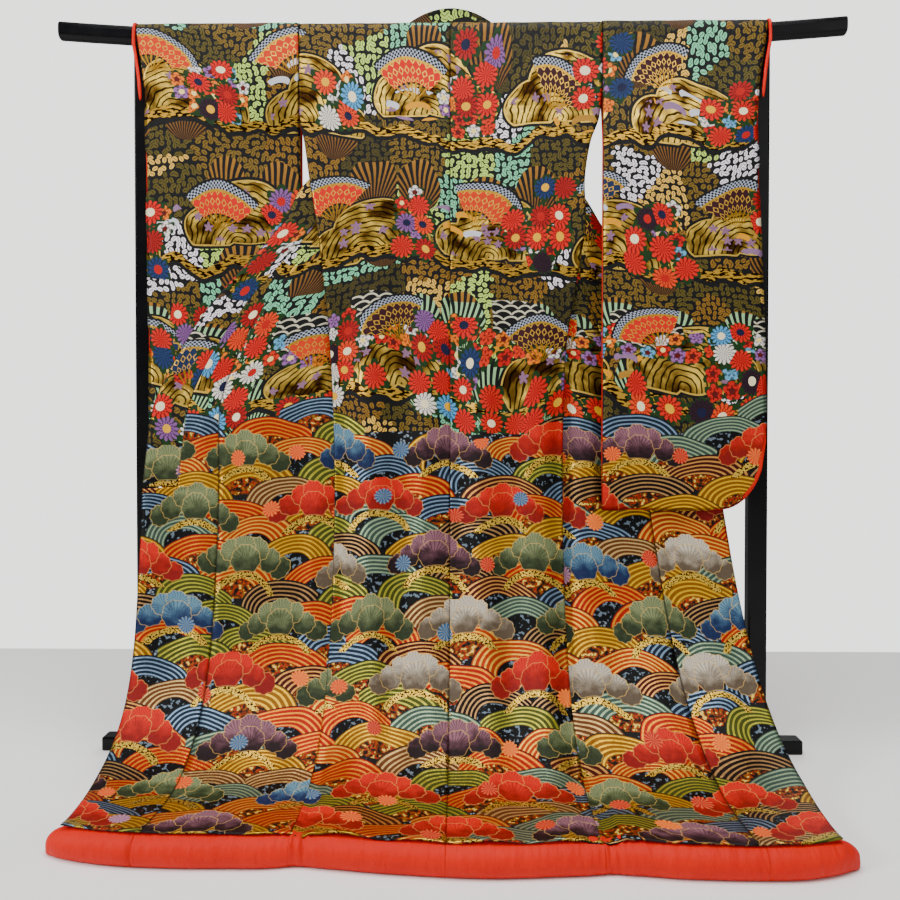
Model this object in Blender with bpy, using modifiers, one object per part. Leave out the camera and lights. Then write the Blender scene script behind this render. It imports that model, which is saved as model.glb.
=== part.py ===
"""An uchikake wedding kimono, hung on a lacquered kimono stand with its back to -Y.

The rod of the stand runs along X through both sleeves.  The back hangs down the -Y side of the rod,
sweeps out over the floor and ends in a padded hem roll.  The fronts start on the +Y side of the rod,
fold back on themselves and swing open, so that their outer faces look to -Y on both sides of the back.
Metres, +Z up, the floor at Z = 0.
"""

import math

import bmesh
import bpy
from mathutils import Vector

# ---------------------------------------------------------------- driving sizes
WALL = 0.002  # brocade, floss and lining, quilted as one layer
SEAM = 0.0003  # room between two pieces that are sewn together
LAYER_ROOM = 0.0042  # room between two layers that lie on each other
STEP = 0.0005  # step for measuring a surface's slope

MIDDLE_Y = 0.18624  # from the middle of the footprint to the rod's plane

ROD_HALF = 0.848
ROD_DEPTH = 0.030
ROD_HEIGHT = 0.038
ROD_TOP = 1.575
ROD_END_LIFT = 0.014  # the ends of the rod sweep up
ROD_END_RUN = 0.160
ROD_CUTS = 5

POST_X = 0.664
POST_WIDTH = 0.041
POST_DEPTH = 0.030
RAIL_HALF = 0.762
RAIL_DEPTH = 0.040
RAIL_HEIGHT = 0.030
FOOT_HALF = 0.150
FOOT_WIDTH = 0.046
FOOT_HEIGHT = 0.030
BAR_EDGE = 0.004  # eased edges of the lacquered bars
ROD_EDGE = 0.012

SHOULDER_TOP = ROD_TOP + 0.006  # outer face of the cloth over the rod
SHOULDER_ROUND = 0.018  # height of the round that the cloth makes over the rod
SHOULDER_RUN = 0.030  # length of cloth in each half of that round
HANG_Y = 0.021  # outer face of the cloth beside the rod

NECK_HALF = 0.088
BACK_HALF = 0.325
FRONT_WIDTH = 0.245
OKUMI_WIDTH = 0.160
OKUMI_TOP = 0.270
OKUMI_TIP = 0.0016  # width left at its pointed top
COLLAR_WIDTH = 0.072
COLLAR_END = 1.000
COLLAR_STEP = 0.004  # the lower end of the collar slopes by this
FOLD_RADIUS = 0.005  # of the turn where each front folds back
FAR_ROD_DROP = 0.034  # the fronts have come over the rod here
COLLAR_STAND = 0.031  # the collar stands this high over the shoulder line at the nape
COLLAR_LOW = 0.004  # and this high where it meets the fronts
NAPE_LEAN = 0.006  # the top of the nape collar leans back by this

SLEEVE_DROP = 1.062
SLEEVE_INNER = 0.3253
CUFF_OPENING = 0.190
CUFF_EDGE = 0.677  # from the centre to the cuff, and below the cuff
CUFF_FOOT_EDGE = 0.655
CUFF_ROLL = 0.0045  # radius of the padded cuff edge
CUFF_CLEAR = 0.036  # the far edge of the cuff is drawn in by this, past the post
SLEEVE_EDGE_LEFT = 0.650  # from the centre to the hanging outer edge
SLEEVE_EDGE_RIGHT = 0.676
CORNER_RISE = 0.145  # the bottom of a sleeve rises by this round its outer corner
SLIT_GAP = 0.0035  # each layer keeps at least this far from the middle along the cuff opening
# y of the hanging sleeve at its inner and outer edge, and how far its near and far layer lie from there
SLEEVE_HANG_LEFT = (0.012, -0.0245, 0.006, 0.014)
SLEEVE_HANG_RIGHT = (-0.028, -0.0245, 0.006, 0.007)
SLEEVE_WAVE = 0.0025  # depth of the soft wave across a sleeve
RIGHT_SET_BACK = 0.010  # the open right front passes this far behind its sleeve

ROLL_HEIGHT = 0.050
ROLL_DEPTH = 0.064
ROLL_BEHIND = 0.012  # centre of the roll behind the brocade's lower edge
ROLL_FLAT = 0.12  # share of the roll's height that its own weight presses flat
ROLL_END = 0.16  # share of its width left at the very tip
TIP_RUN = 0.100  # length of the rounded tip
GATHERS = (-0.240, 0.270)  # where the side seams draw the roll in
GATHER_DEPTH = 0.10
GATHER_RUN = 0.022
HEM_SIDE_SEAM = 0.256
HEM_OKUMI_SEAM = 0.511
HEM_TIP = 0.674
HEM_LENGTH = 1.800  # from the shoulder line to the hem seam, along the cloth

# ---------------------------------------------------------------- how the cloth hangs
# Length from the shoulder line, distance of the side seam from the centre seam, and how far the front is
# laid inward from its side seam before it folds back.
LEFT_HALF = (
    # drop, seam, tuck
    (0.000, 0.3250, 0.3450),
    (0.140, 0.3250, 0.2980),
    (0.220, 0.3230, 0.2430),
    (0.270, 0.3130, 0.2050),
    (0.350, 0.3020, 0.1500),
    (0.440, 0.2870, 0.1220),
    (0.590, 0.2690, 0.0560),
    (0.690, 0.2600, 0.0220),
    (0.820, 0.2540, -0.0060),
    (0.980, 0.2500, -0.0160),
    (1.200, 0.2500, -0.0158),
    (1.800, 0.2560, -0.0158),
)
RIGHT_HALF = (
    # drop, seam, tuck
    (0.000, 0.3250, 0.3450),
    (0.140, 0.3250, 0.2980),
    (0.220, 0.3180, 0.2430),
    (0.270, 0.3000, 0.2080),
    (0.350, 0.2880, 0.1680),
    (0.440, 0.2900, 0.1420),
    (0.590, 0.2670, 0.1000),
    (0.690, 0.2520, 0.0740),
    (0.820, 0.2460, 0.0480),
    (0.980, 0.2440, 0.0260),
    (1.200, 0.2440, 0.0100),
    (1.500, 0.2480, -0.0060),
    (1.700, 0.2520, -0.0158),
    (1.800, 0.2540, -0.0158),
)
# The hem line on the floor, from the left tip to the right tip.
HEM_LINE = (
    # x, y
    (-0.660, -0.452),
    (-0.520, -0.476),
    (-0.300, -0.478),
    (-0.240, -0.472),
    (-0.100, -0.490),
    (0.060, -0.502),
    (0.200, -0.494),
    (0.270, -0.488),
    (0.400, -0.500),
    (0.560, -0.500),
    (0.656, -0.478),
)
SWEEP_FROM = 0.760  # height at which the cloth leaves the vertical
SWEEP_CONTROL = ((0.000, 0.330), (-0.085, 0.040), (-0.300, 0.041))  # y from the hanging plane, z
HEM_SEAM_HEIGHT = 0.055
FRONTS_LEVEL = (1.620, 1.745)  # drops over which the fronts come level with the back, for the hem
FRONTS_FORWARD = (0.050, 0.340)  # drops over which the fronts come forward from behind the rod

# The long soft folds: depth, and the distance from fold to fold.
SOFT_FOLD = (0.006, 0.118)
WIDE_FOLD = (0.0027, 0.271)


def along(table, position, column):
    """A column of a table at a position along its first column, on a smooth curve through the rows."""
    rows = [(row[0], row[column]) for row in table]
    if position <= rows[0][0]:
        return rows[0][1]
    if position >= rows[-1][0]:
        return rows[-1][1]
    index = max(i for i, row in enumerate(rows[:-1]) if row[0] <= position)
    (x1, y1), (x2, y2) = rows[index], rows[index + 1]
    x0, y0 = rows[index - 1] if index else (2 * x1 - x2, 2 * y1 - y2)
    x3, y3 = rows[index + 2] if index + 2 < len(rows) else (2 * x2 - x1, 2 * y2 - y1)
    slope1 = (y2 - y0) / (x2 - x0)
    slope2 = (y3 - y1) / (x3 - x1)
    f = (position - x1) / (x2 - x1)
    run = x2 - x1
    return (
        y1 * (1 + 2 * f) * (1 - f) ** 2
        + slope1 * run * f * (1 - f) ** 2
        + y2 * f * f * (3 - 2 * f)
        + slope2 * run * f * f * (f - 1)
    )


def ease(value, start, end):
    """0 before start, 1 after end, and a smooth step between."""
    f = min(1.0, max(0.0, (value - start) / (end - start)))
    return f * f * (3 - 2 * f)


def bezier(points, f):
    """A point on a Bezier curve of any degree."""
    points = [Vector(p) for p in points]
    while len(points) > 1:
        points = [a.lerp(b, f) for a, b in zip(points, points[1:])]
    return points[0]


def drop_profile(steps=400):
    """The hanging line of the cloth as rows of length, y and z: over the rod, down, out over the floor."""
    path = [Vector((0.0, SHOULDER_TOP))]
    for i in range(1, 13):
        angle = math.pi / 2 * i / 12
        fallen = SHOULDER_ROUND * (1 - math.cos(angle))
        path.append(Vector((-HANG_Y * math.sin(angle), SHOULDER_TOP - fallen)))
    start = Vector((-HANG_Y, SWEEP_FROM))
    end = Vector((HEM_LINE[4][1], HEM_SEAM_HEIGHT))
    control = [Vector((-HANG_Y + y, z)) for y, z in SWEEP_CONTROL]
    path += [bezier([start, *control, end], i / steps) for i in range(steps + 1)]
    rows = []
    length = 0.0
    for a, b in zip(path, path[1:]):
        rows.append((length, a.x, a.y))
        length += (b - a).length
    rows.append((length, path[-1].x, path[-1].y))
    scale = HEM_LENGTH / length
    return [(row[0] * scale, row[1], row[2]) for row in rows]


PROFILE = drop_profile()


def hanging_line(drop):
    """Place and inner normal of the hanging line, as (y, z) pairs, at a length from the shoulder line."""
    drop = min(max(drop, 0.0), HEM_LENGTH)
    index = 0
    low, high = 0, len(PROFILE) - 1
    while high - low > 1:
        index = (low + high) // 2
        if PROFILE[index][0] <= drop:
            low = index
        else:
            high = index
    a, b = PROFILE[low], PROFILE[low + 1]
    f = (drop - a[0]) / (b[0] - a[0])
    place = Vector((a[1] + f * (b[1] - a[1]), a[2] + f * (b[2] - a[2])))
    before, after = PROFILE[max(0, low - 3)], PROFILE[min(len(PROFILE) - 1, low + 4)]
    run = Vector((after[1] - before[1], after[2] - before[2])).normalized()
    return place, Vector((-run.y, run.x))


def hang(x, drop, inward):
    """A point of the garment: x across, drop along the hanging line, inward from the back's outer face."""
    place, normal = hanging_line(drop)
    reach = (along(HEM_LINE, x, 1) + HANG_Y) / (HEM_LINE[4][1] + HANG_Y)
    sweep = place.x if drop < 0.05 else -HANG_Y + (place.x + HANG_Y) * reach
    return Vector((x, sweep + inward * normal.x, place.y + inward * normal.y))


def soft_folds(x, drop):
    """The long soft folds of the hanging cloth, as a distance inward."""
    wave = SOFT_FOLD[0] * math.cos(2 * math.pi * (x - 0.012) / SOFT_FOLD[1])
    wave += WIDE_FOLD[0] * math.cos(2 * math.pi * (x + 0.050) / WIDE_FOLD[1])
    fall = ease(drop, 0.30, 0.95) * (1 - 0.75 * ease(drop, 1.30, 1.72))
    return wave * fall * (1 - 0.75 * ease(abs(x), 0.25, 0.36))


# ---------------------------------------------------------------- scene, materials and meshes
def material(name, colour, roughness, metallic=0.0):
    finish = bpy.data.materials.new(name)
    finish.use_nodes = True
    shader = finish.node_tree.nodes["Principled BSDF"]
    shader.inputs["Base Color"].default_value = (*colour, 1.0)
    shader.inputs["Roughness"].default_value = roughness
    shader.inputs["Metallic"].default_value = metallic
    return finish


def finish_object(name, mesh, colour, roughness):
    """Link a mesh as one named object with a material of its own."""
    body = bpy.data.objects.new(name, mesh)
    body.location.y = MIDDLE_Y
    body.data.materials.append(material(name + "_finish", colour, roughness))
    bpy.data.collections["uchikake_on_stand"].objects.link(body)
    return body


def cloth(name, columns, rows, locate, surface, facing, colour, wall=WALL):
    """A layer of cloth: a grid laid on surface(a, b), extruded to give it a wall on its inner side.

    locate(column, row) gives the cloth's own a and b.  facing is 1 or -1, so that the outer face looks out.
    The wall follows the surface's own slope, so that pieces sewn edge to edge have parallel edges.
    """
    grid = bmesh.new()
    across, down = len(columns) - 1, len(rows) - 1
    bmesh.ops.create_grid(grid, x_segments=across, y_segments=down, size=0.5)
    own_column = grid.verts.layers.int.new("column")
    own_row = grid.verts.layers.int.new("row")
    for vert in grid.verts:
        vert[own_column] = round((vert.co.x + 0.5) * across)
        vert[own_row] = round((vert.co.y + 0.5) * down)
    bmesh.ops.triangulate(grid, faces=grid.faces[:], quad_method="FIXED")
    inner = bmesh.ops.extrude_face_region(grid, geom=grid.faces[:], use_keep_orig=True)["geom"]
    inner = {item for item in inner if isinstance(item, bmesh.types.BMVert)}
    for vert in grid.verts:
        a, b = locate(columns[vert[own_column]], rows[vert[own_row]])
        vert.co = surface(a, b)
        if vert in inner:
            slope_a = surface(a + STEP, b) - surface(a - STEP, b)
            slope_b = surface(a, b + STEP) - surface(a, b - STEP)
            vert.co -= wall * facing * slope_a.cross(slope_b).normalized()
    if grid.calc_volume(signed=True) < 0:
        bmesh.ops.reverse_faces(grid, faces=grid.faces)
    mesh = bpy.data.meshes.new(name)
    grid.to_mesh(mesh)
    grid.free()
    mesh.shade_smooth()
    mesh.set_sharp_from_angle(angle=math.radians(60))
    return finish_object(name, mesh, colour, 0.6)


def spaced(start, end, count):
    return [start + (end - start) * i / count for i in range(count + 1)]


BROCADE = (0.36, 0.20, 0.07)
RED = (0.80, 0.06, 0.015)
LACQUER = (0.012, 0.012, 0.014)
ROD_ROWS = spaced(0.0, SHOULDER_RUN, 4)
HIGH_ROWS = [0.036, 0.07, 0.12, 0.17, 0.22, 0.226, 0.232, 0.238]
HIGH_ROWS += [0.245, 0.252, 0.26, 0.27, 0.285, 0.305, 0.33, 0.36]
BACK_ROWS = [0.07, 0.12, 0.17, 0.22, 0.27, 0.305, 0.33, 0.36]
LONG_ROWS = [0.40, 0.46, 0.51, 0.57, 0.64, 0.71, 0.77, 0.82, 0.87, 0.935, 1.00, 1.08, 1.16, 1.24]
FLOOR_ROWS = [1.32, 1.40, 1.48, 1.55, 1.62, 1.68, 1.74, HEM_LENGTH]
FRONT_COLUMNS = (4, 4, 4)  # before the turn, round it and after it
COLLAR_COLUMNS = (1, 4, 2)


# ---------------------------------------------------------------- body
def back(name, side, table):
    """One half of the back, from the shoulder line to the hem seam."""

    def locate(across, drop):
        return side * (SEAM / 2 + across * (side_seam(table, drop) - SEAM / 2)), drop + SEAM / 2

    def surface(x, drop):
        return hang(x, drop, soft_folds(x, drop))

    rows = ROD_ROWS + BACK_ROWS + LONG_ROWS + FLOOR_ROWS
    cloth(name, spaced(0.0, 1.0, 10), rows, locate, surface, -1, BROCADE)


def turned_line(length):
    """A line that runs inward, turns round FOLD_RADIUS and runs back outward: its place across, behind."""
    around = length / FOLD_RADIUS
    if around < 0:
        return Vector((-length, 0.0))
    if around < math.pi:
        return Vector((-FOLD_RADIUS * math.sin(around), FOLD_RADIUS * (1 - math.cos(around))))
    return Vector((length - math.pi * FOLD_RADIUS, 2 * FOLD_RADIUS))


def side_seam(table, drop):
    return min(BACK_HALF, along(table, drop, 1))


def laid_inward(table, drop):
    """Width of the front laid inward before its turn; near the shoulder it turns at the foot of its collar."""
    return min(front_panel_width(drop), along(table, drop, 2))


def front_slice(side, table, drop, width):
    """Where a point of the open front lies: width is measured along the cloth from the side seam."""
    seam, tuck = side_seam(table, drop), laid_inward(table, drop)
    run, lift = turned_line(width - tuck) - turned_line(-tuck)
    opened = ease(-tuck, 0.0, 0.7 * math.pi * FOLD_RADIUS)
    room = SEAM + (LAYER_ROOM - SEAM) * ease(width, 0.0, 0.03)
    behind = ((2 - opened) * WALL + room) * (1 - ease(drop, *FRONTS_LEVEL))
    hung = behind + (2 * HANG_Y - behind) * (1 - ease(drop, *FRONTS_FORWARD))
    x = seam + SEAM * opened + run
    return side * x, hung + lift + sway(side, x, seam, drop, width - tuck)


def sway(side, x, seam, drop, turned):
    """The left front passes before its sleeve; the right front hangs behind its sleeve."""
    free = ease(drop, 0.30, 0.44) * (1 - ease(drop, 1.15, 1.50)) * ease(turned, 0.0, math.pi * FOLD_RADIUS)
    if side > 0:
        return RIGHT_SET_BACK * free * ease(x, seam, SLEEVE_INNER)
    return free * (SLEEVE_HANG_LEFT[1] - SLEEVE_HANG_LEFT[0]) * (x - seam) / (POST_X - seam)


def edge_beyond_okumi_seam(drop):
    """How far the free edge, collar and all, lies beyond the seam between front and okumi."""
    f = min(1.0, max(0.0, (drop - OKUMI_TOP) / (COLLAR_END - OKUMI_TOP)))
    tip = OKUMI_TIP * ease(drop, OKUMI_TOP - 0.05, OKUMI_TOP)
    return COLLAR_WIDTH + tip + (OKUMI_WIDTH - COLLAR_WIDTH - OKUMI_TIP) * f


def fold_columns(inner, outer, tuck, counts):
    """Columns of a piece between two widths: some before the turn, some round it and some after it."""
    turned = math.pi * FOLD_RADIUS
    after = min(max(tuck + turned, inner + 0.010), outer - 0.012)
    before = min(max(tuck, inner + 0.004), after - min(turned, 0.5 * (after - inner)))
    stops = (inner, before, after, outer)
    columns = [inner]
    for start, end, count in zip(stops, stops[1:], counts):
        columns += [start + (end - start) * i / count for i in range(1, count + 1)]
    return columns


def front_panel_width(drop):
    return BACK_HALF - NECK_HALF + (FRONT_WIDTH - BACK_HALF + NECK_HALF) * ease(drop, 0.0, OKUMI_TOP)


def front_total(drop):
    return front_panel_width(drop) + edge_beyond_okumi_seam(drop)


def open_front(side, table):
    """The surface of one open front, by width along the cloth from the side seam and by drop."""

    def surface(width, drop):
        if drop < FAR_ROD_DROP:  # over the far half of the rod
            x = front_slice(side, table, drop, width)[0]
            point = hang(x, drop, 0.0)
            point.y = -point.y + SEAM / 2
            return point
        x, inward = front_slice(side, table, drop, width)
        return hang(x, drop, inward + soft_folds(x, drop))

    return surface


def front(name, side, table):
    """One front body panel, from the shoulder line to the hem seam."""

    def locate(column, drop):
        tuck = laid_inward(table, drop)
        return fold_columns(SEAM, front_panel_width(drop) - SEAM, tuck, FRONT_COLUMNS)[column], drop

    rows = ROD_ROWS[1:] + HIGH_ROWS + LONG_ROWS + FLOOR_ROWS
    cloth(name, range(sum(FRONT_COLUMNS) + 1), rows, locate, open_front(side, table), -side, BROCADE)


def okumi(name, side, table):
    """The overlap panel that carries the front edge, with the step where the collar ends."""
    rows = [row for row in HIGH_ROWS + LONG_ROWS if OKUMI_TOP <= row < COLLAR_END]
    rows += [COLLAR_END, COLLAR_END + COLLAR_STEP]
    rows += [row for row in LONG_ROWS + FLOOR_ROWS if row > COLLAR_END + COLLAR_STEP]

    def locate(across, drop):
        inner = front_panel_width(drop) + SEAM
        outer = front_total(drop)
        if drop <= COLLAR_END:
            outer -= COLLAR_WIDTH + SEAM
        return inner + across * (outer - inner), drop

    cloth(name, spaced(0.0, 1.0, 4), rows, locate, open_front(side, table), -side, BROCADE)


# ---------------------------------------------------------------- collar
def collar(name, side, table):
    """The collar of one front: from the shoulder down the front edge, to the step in the okumi."""
    rows = [row for row in HIGH_ROWS + LONG_ROWS if row < COLLAR_END] + [COLLAR_END - SEAM]

    def locate(column, drop):
        tuck = laid_inward(table, drop)
        outer = front_total(drop)
        return fold_columns(outer - COLLAR_WIDTH + 2 * SEAM, outer, tuck, COLLAR_COLUMNS)[column], drop

    def surface(width, drop):
        inner = front_total(drop) - COLLAR_WIDTH
        slope = COLLAR_STEP * (width - inner) / COLLAR_WIDTH * ease(drop, 0.9, COLLAR_END)
        return open_front(side, table)(width, drop + slope)

    cloth(name, range(sum(COLLAR_COLUMNS) + 1), rows, locate, surface, -side, BROCADE)


def nape_collar(name):
    """The collar round the back of the neck: it stands up from the seam on the shoulder line."""

    def locate(across, up):
        return across, up

    def surface(across, up):
        x = (NECK_HALF - SEAM) * across
        height = COLLAR_LOW + (COLLAR_STAND - COLLAR_LOW) * (1 - across * across)
        lean = NAPE_LEAN * (1 - across * across) * up * up
        return Vector((x, SEAM - lean, SHOULDER_TOP - WALL / 4 + height * up))

    cloth(name, spaced(-1.0, 1.0, 16), spaced(0.0, 1.0, 4), locate, surface, 1, BROCADE)


# ---------------------------------------------------------------- sleeves
def sleeve_edge(drop, far, lower_edge):
    """Distance of a sleeve's outer edge from the centre; at the cuff the far layer clears the post."""
    edge = CUFF_EDGE + (CUFF_FOOT_EDGE - CUFF_EDGE) * ease(drop, 0.0, CUFF_OPENING)
    edge += (lower_edge - CUFF_FOOT_EDGE) * ease(drop, CUFF_OPENING, 0.50)
    if far:
        edge -= CUFF_CLEAR * ease(drop, 0.030, 0.095) * (1 - ease(drop, 0.165, CUFF_OPENING))
    return edge


def sleeve_point(side, hang_y, lower_edge, across, drop, far, closing):
    """A point of a sleeve's inner face; closing is 1 where the layers meet at the bottom."""
    inner = SLEEVE_INNER + SEAM
    x = inner + across * (sleeve_edge(drop, far, lower_edge) - inner)
    if drop < SHOULDER_RUN:
        angle = math.pi / 2 * drop / SHOULDER_RUN
        y = HANG_Y * math.sin(angle)
        fallen = SHOULDER_ROUND * (1 - math.cos(angle))
        return Vector((side * x, y if far else -y, SHOULDER_TOP - fallen))
    y = HANG_Y if far else -HANG_Y
    f = (x - SLEEVE_INNER) / (CUFF_FOOT_EDGE - SLEEVE_INNER)
    gap = hang_y[3 if far else 2] * (1 - ease(across, 0.75, 1.0)) * (1 - closing)
    if drop <= CUFF_OPENING:
        gap = max(gap, SLIT_GAP)
    hung = hang_y[0] + (hang_y[1] - hang_y[0]) * f + (gap if far else -gap)
    hung += SLEEVE_WAVE * math.sin(2 * math.pi * x / 0.30 + 1.3 * side) * (1 - across)
    settled = ease(drop, 0.10, 0.30)
    settled += (ease(drop, 0.085, 0.165) - settled) * ease(across, 0.75, 1.0)
    height = SHOULDER_TOP - SHOULDER_ROUND - (drop - SHOULDER_RUN)
    return Vector((side * x, y + (hung - y) * settled, height))


def sleeve(name, side, hang_y, lower_edge):
    """A sleeve: one cloth folded over the rod, sewn down its outer edge below the cuff and along its foot."""
    rows = [0.0, 0.010, 0.020, SHOULDER_RUN, 0.065, 0.095, 0.13, 0.16, CUFF_OPENING]
    rows += [0.215, 0.26, 0.32, 0.40, 0.50, 0.60, 0.70, 0.80, 0.88, 0.94, 0.985, 1.02, 1.045, SLEEVE_DROP]
    across, count = 8, len(rows) - 1

    def corner(x):
        """How far the bottom edge has risen round the outer corner."""
        f = max(0.0, (x - 0.72) / 0.28)
        return CORNER_RISE * (1 - math.sqrt(max(0.0, 1 - f * f)))

    def place(x, index):
        level = rows[abs(index)]
        drop = level - corner(x) * ease(level, 0.50, SLEEVE_DROP)
        return sleeve_point(side, hang_y, lower_edge, x, drop, index < 0, ease(level, 0.90, SLEEVE_DROP))

    grid = bmesh.new()
    bmesh.ops.create_grid(grid, x_segments=across, y_segments=2 * count, size=0.5)
    for vert in grid.verts:
        vert.co = place(vert.co.x + 0.5, round((vert.co.y + 0.5) * 2 * count) - count)
    bmesh.ops.remove_doubles(grid, verts=grid.verts, dist=0.00005)
    bmesh.ops.triangulate(grid, faces=grid.faces[:], quad_method="FIXED")
    if side > 0:
        bmesh.ops.reverse_faces(grid, faces=grid.faces)
    mesh = bpy.data.meshes.new(name)
    grid.to_mesh(mesh)
    grid.free()
    mesh.shade_smooth()
    wall = finish_object(name, mesh, BROCADE, 0.6).modifiers.new("Wall", "SOLIDIFY")
    wall.thickness = WALL
    wall.offset = 1.0


def tube(name, points, radius, steps, colour, roughness):
    """A round tube along a list of points."""
    curve = bpy.data.curves.new(name, "CURVE")
    curve.dimensions = "3D"
    curve.bevel_depth = radius
    curve.bevel_resolution = steps
    curve.use_fill_caps = True
    line = curve.splines.new("POLY")
    line.points.add(len(points) - 1)
    for spot, point in zip(line.points, points):
        spot.co = (*point, 1.0)
    return finish_object(name, curve, colour, roughness)


def cuff_roll(name, side, hang_y, lower_edge):
    """The padded red edge of the cuff, from the foot of the slit over the rod and down the far side."""
    near_drops = [0.166, 0.150, 0.132, 0.114, 0.096, 0.078, 0.060, 0.042]
    near_drops += [SHOULDER_RUN, 0.022, 0.014, 0.007]
    drops = [(d, False) for d in near_drops] + [(0.0, False)] + [(d, True) for d in reversed(near_drops[2:])]
    points = []
    for drop, far in drops:
        point = sleeve_point(side, hang_y, lower_edge, 1.0, drop, far, 0.0)
        over = 1 - ease(drop, 0.0, SHOULDER_RUN)
        point.x += side * (CUFF_ROLL + SEAM + CUFF_ROLL * ease(drop, SHOULDER_RUN, 0.055))
        point.y += (0.5 if far else -0.5) * WALL * (1 - over)
        point.z += 1.5 * WALL * over
        points.append(point)
    tube(name, points, CUFF_ROLL, 2, RED, 0.55)


# ---------------------------------------------------------------- hem roll
def hem_roll(name, start, end, tip=0.0):
    """One length of the padded hem roll; tip is the length of its rounded outer end, if it has one."""
    stations, ring = 7, 12
    outer = max(abs(start), abs(end))

    def section(x, turn):
        """A flattened ring with a flat underside."""
        f = max(0.0, (abs(x) - (outer - tip)) / tip) if tip else 0.0
        full = max(ROLL_END, math.sqrt(max(0.0, 1 - f * f)))
        pulled = 1 - GATHER_DEPTH * sum(math.exp(-((x - spot) / GATHER_RUN) ** 2) for spot in GATHERS)
        height = ROLL_HEIGHT * pulled * (0.35 + 0.65 * full)
        depth = ROLL_DEPTH * pulled * full
        rise = 0.5 * (1 + math.sin(turn))
        z = height * max(0.0, rise - ROLL_FLAT * (1 - rise))
        return Vector((x, along(HEM_LINE, x, 1) + ROLL_BEHIND + 0.5 * depth * math.cos(turn), z))

    grid = bmesh.new()
    bmesh.ops.create_grid(grid, x_segments=stations, y_segments=ring, size=0.5)
    for vert in grid.verts:
        f = vert.co.x + 0.5
        if tip:  # stations closer together towards the tip
            f = f ** 0.6 if abs(end) > abs(start) else 1 - (1 - f) ** 0.6
        vert.co = section(start + (end - start) * f, 2 * math.pi * vert.co.y)
    bmesh.ops.remove_doubles(grid, verts=grid.verts, dist=0.00005)
    bmesh.ops.holes_fill(grid, edges=grid.edges, sides=0)
    bmesh.ops.recalc_face_normals(grid, faces=grid.faces)
    mesh = bpy.data.meshes.new(name)
    grid.to_mesh(mesh)
    grid.free()
    mesh.shade_smooth()
    mesh.set_sharp_from_angle(angle=math.radians(60))
    return finish_object(name, mesh, RED, 0.55)


# ---------------------------------------------------------------- stand
def bar(name, size, place):
    """A straight lacquered bar with eased edges."""
    grid = bmesh.new()
    bmesh.ops.create_cube(grid, size=1.0)
    bmesh.ops.scale(grid, vec=size, verts=grid.verts)
    bmesh.ops.translate(grid, vec=place, verts=grid.verts)
    bmesh.ops.bevel(
        grid, geom=grid.edges, offset=BAR_EDGE, segments=2, profile=0.5, affect="EDGES", material=-1
    )
    mesh = bpy.data.meshes.new(name)
    grid.to_mesh(mesh)
    grid.free()
    mesh.shade_smooth()
    mesh.set_sharp_from_angle(angle=math.radians(40))
    return finish_object(name, mesh, LACQUER, 0.15)


def rod(name):
    """The top rod: a round-edged bar whose ends sweep up."""
    grid = bmesh.new()
    bmesh.ops.create_cube(grid, size=1.0)
    bmesh.ops.scale(grid, vec=(2 * ROD_HALF, ROD_DEPTH, ROD_HEIGHT), verts=grid.verts)
    long_edges = [e for e in grid.edges if abs(e.verts[0].co.x - e.verts[1].co.x) > ROD_HALF]
    bmesh.ops.bevel(
        grid, geom=long_edges, offset=ROD_EDGE, segments=4, profile=0.5, affect="EDGES", material=-1
    )
    long_edges = [e for e in grid.edges if abs(e.verts[0].co.x - e.verts[1].co.x) > ROD_HALF]
    bmesh.ops.subdivide_edges(grid, edges=long_edges, cuts=2 * ROD_CUTS - 1)
    for vert in grid.verts:
        # the cuts are gathered towards the ends, where the bar bends
        f = vert.co.x / ROD_HALF
        vert.co.x = math.copysign(ROD_HALF * (1 - (1 - abs(f)) ** 1.6), f)
        lift = ROD_END_LIFT * ease(abs(vert.co.x), ROD_HALF - ROD_END_RUN, ROD_HALF)
        vert.co.z += ROD_TOP - ROD_HEIGHT / 2 + lift
    mesh = bpy.data.meshes.new(name)
    grid.to_mesh(mesh)
    grid.free()
    mesh.shade_smooth()
    mesh.set_sharp_from_angle(angle=math.radians(50))
    return finish_object(name, mesh, LACQUER, 0.15)


def stand():
    """Rod, two posts, a base rail between them and a cross foot under each post."""
    rod("rod")
    post_top = ROD_TOP - ROD_HEIGHT - SEAM
    post_bottom = FOOT_HEIGHT + SEAM
    post_size = (POST_WIDTH, POST_DEPTH, post_top - post_bottom)
    foot_size = (FOOT_WIDTH, 2 * FOOT_HALF, FOOT_HEIGHT)
    stub = RAIL_HALF - POST_X - FOOT_WIDTH / 2 - SEAM
    stub_size = (stub, RAIL_DEPTH, RAIL_HEIGHT)
    for side, hand in ((-1, "left"), (1, "right")):
        bar(f"post_{hand}", post_size, (side * POST_X, 0.0, (post_top + post_bottom) / 2))
        bar(f"foot_{hand}", foot_size, (side * POST_X, 0.0, FOOT_HEIGHT / 2))
        bar(f"rail_end_{hand}", stub_size, (side * (RAIL_HALF - stub / 2), 0.0, RAIL_HEIGHT / 2))
    rail_size = (2 * (POST_X - FOOT_WIDTH / 2 - SEAM), RAIL_DEPTH, RAIL_HEIGHT)
    bar("base_rail", rail_size, (0.0, 0.0, RAIL_HEIGHT / 2))


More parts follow.
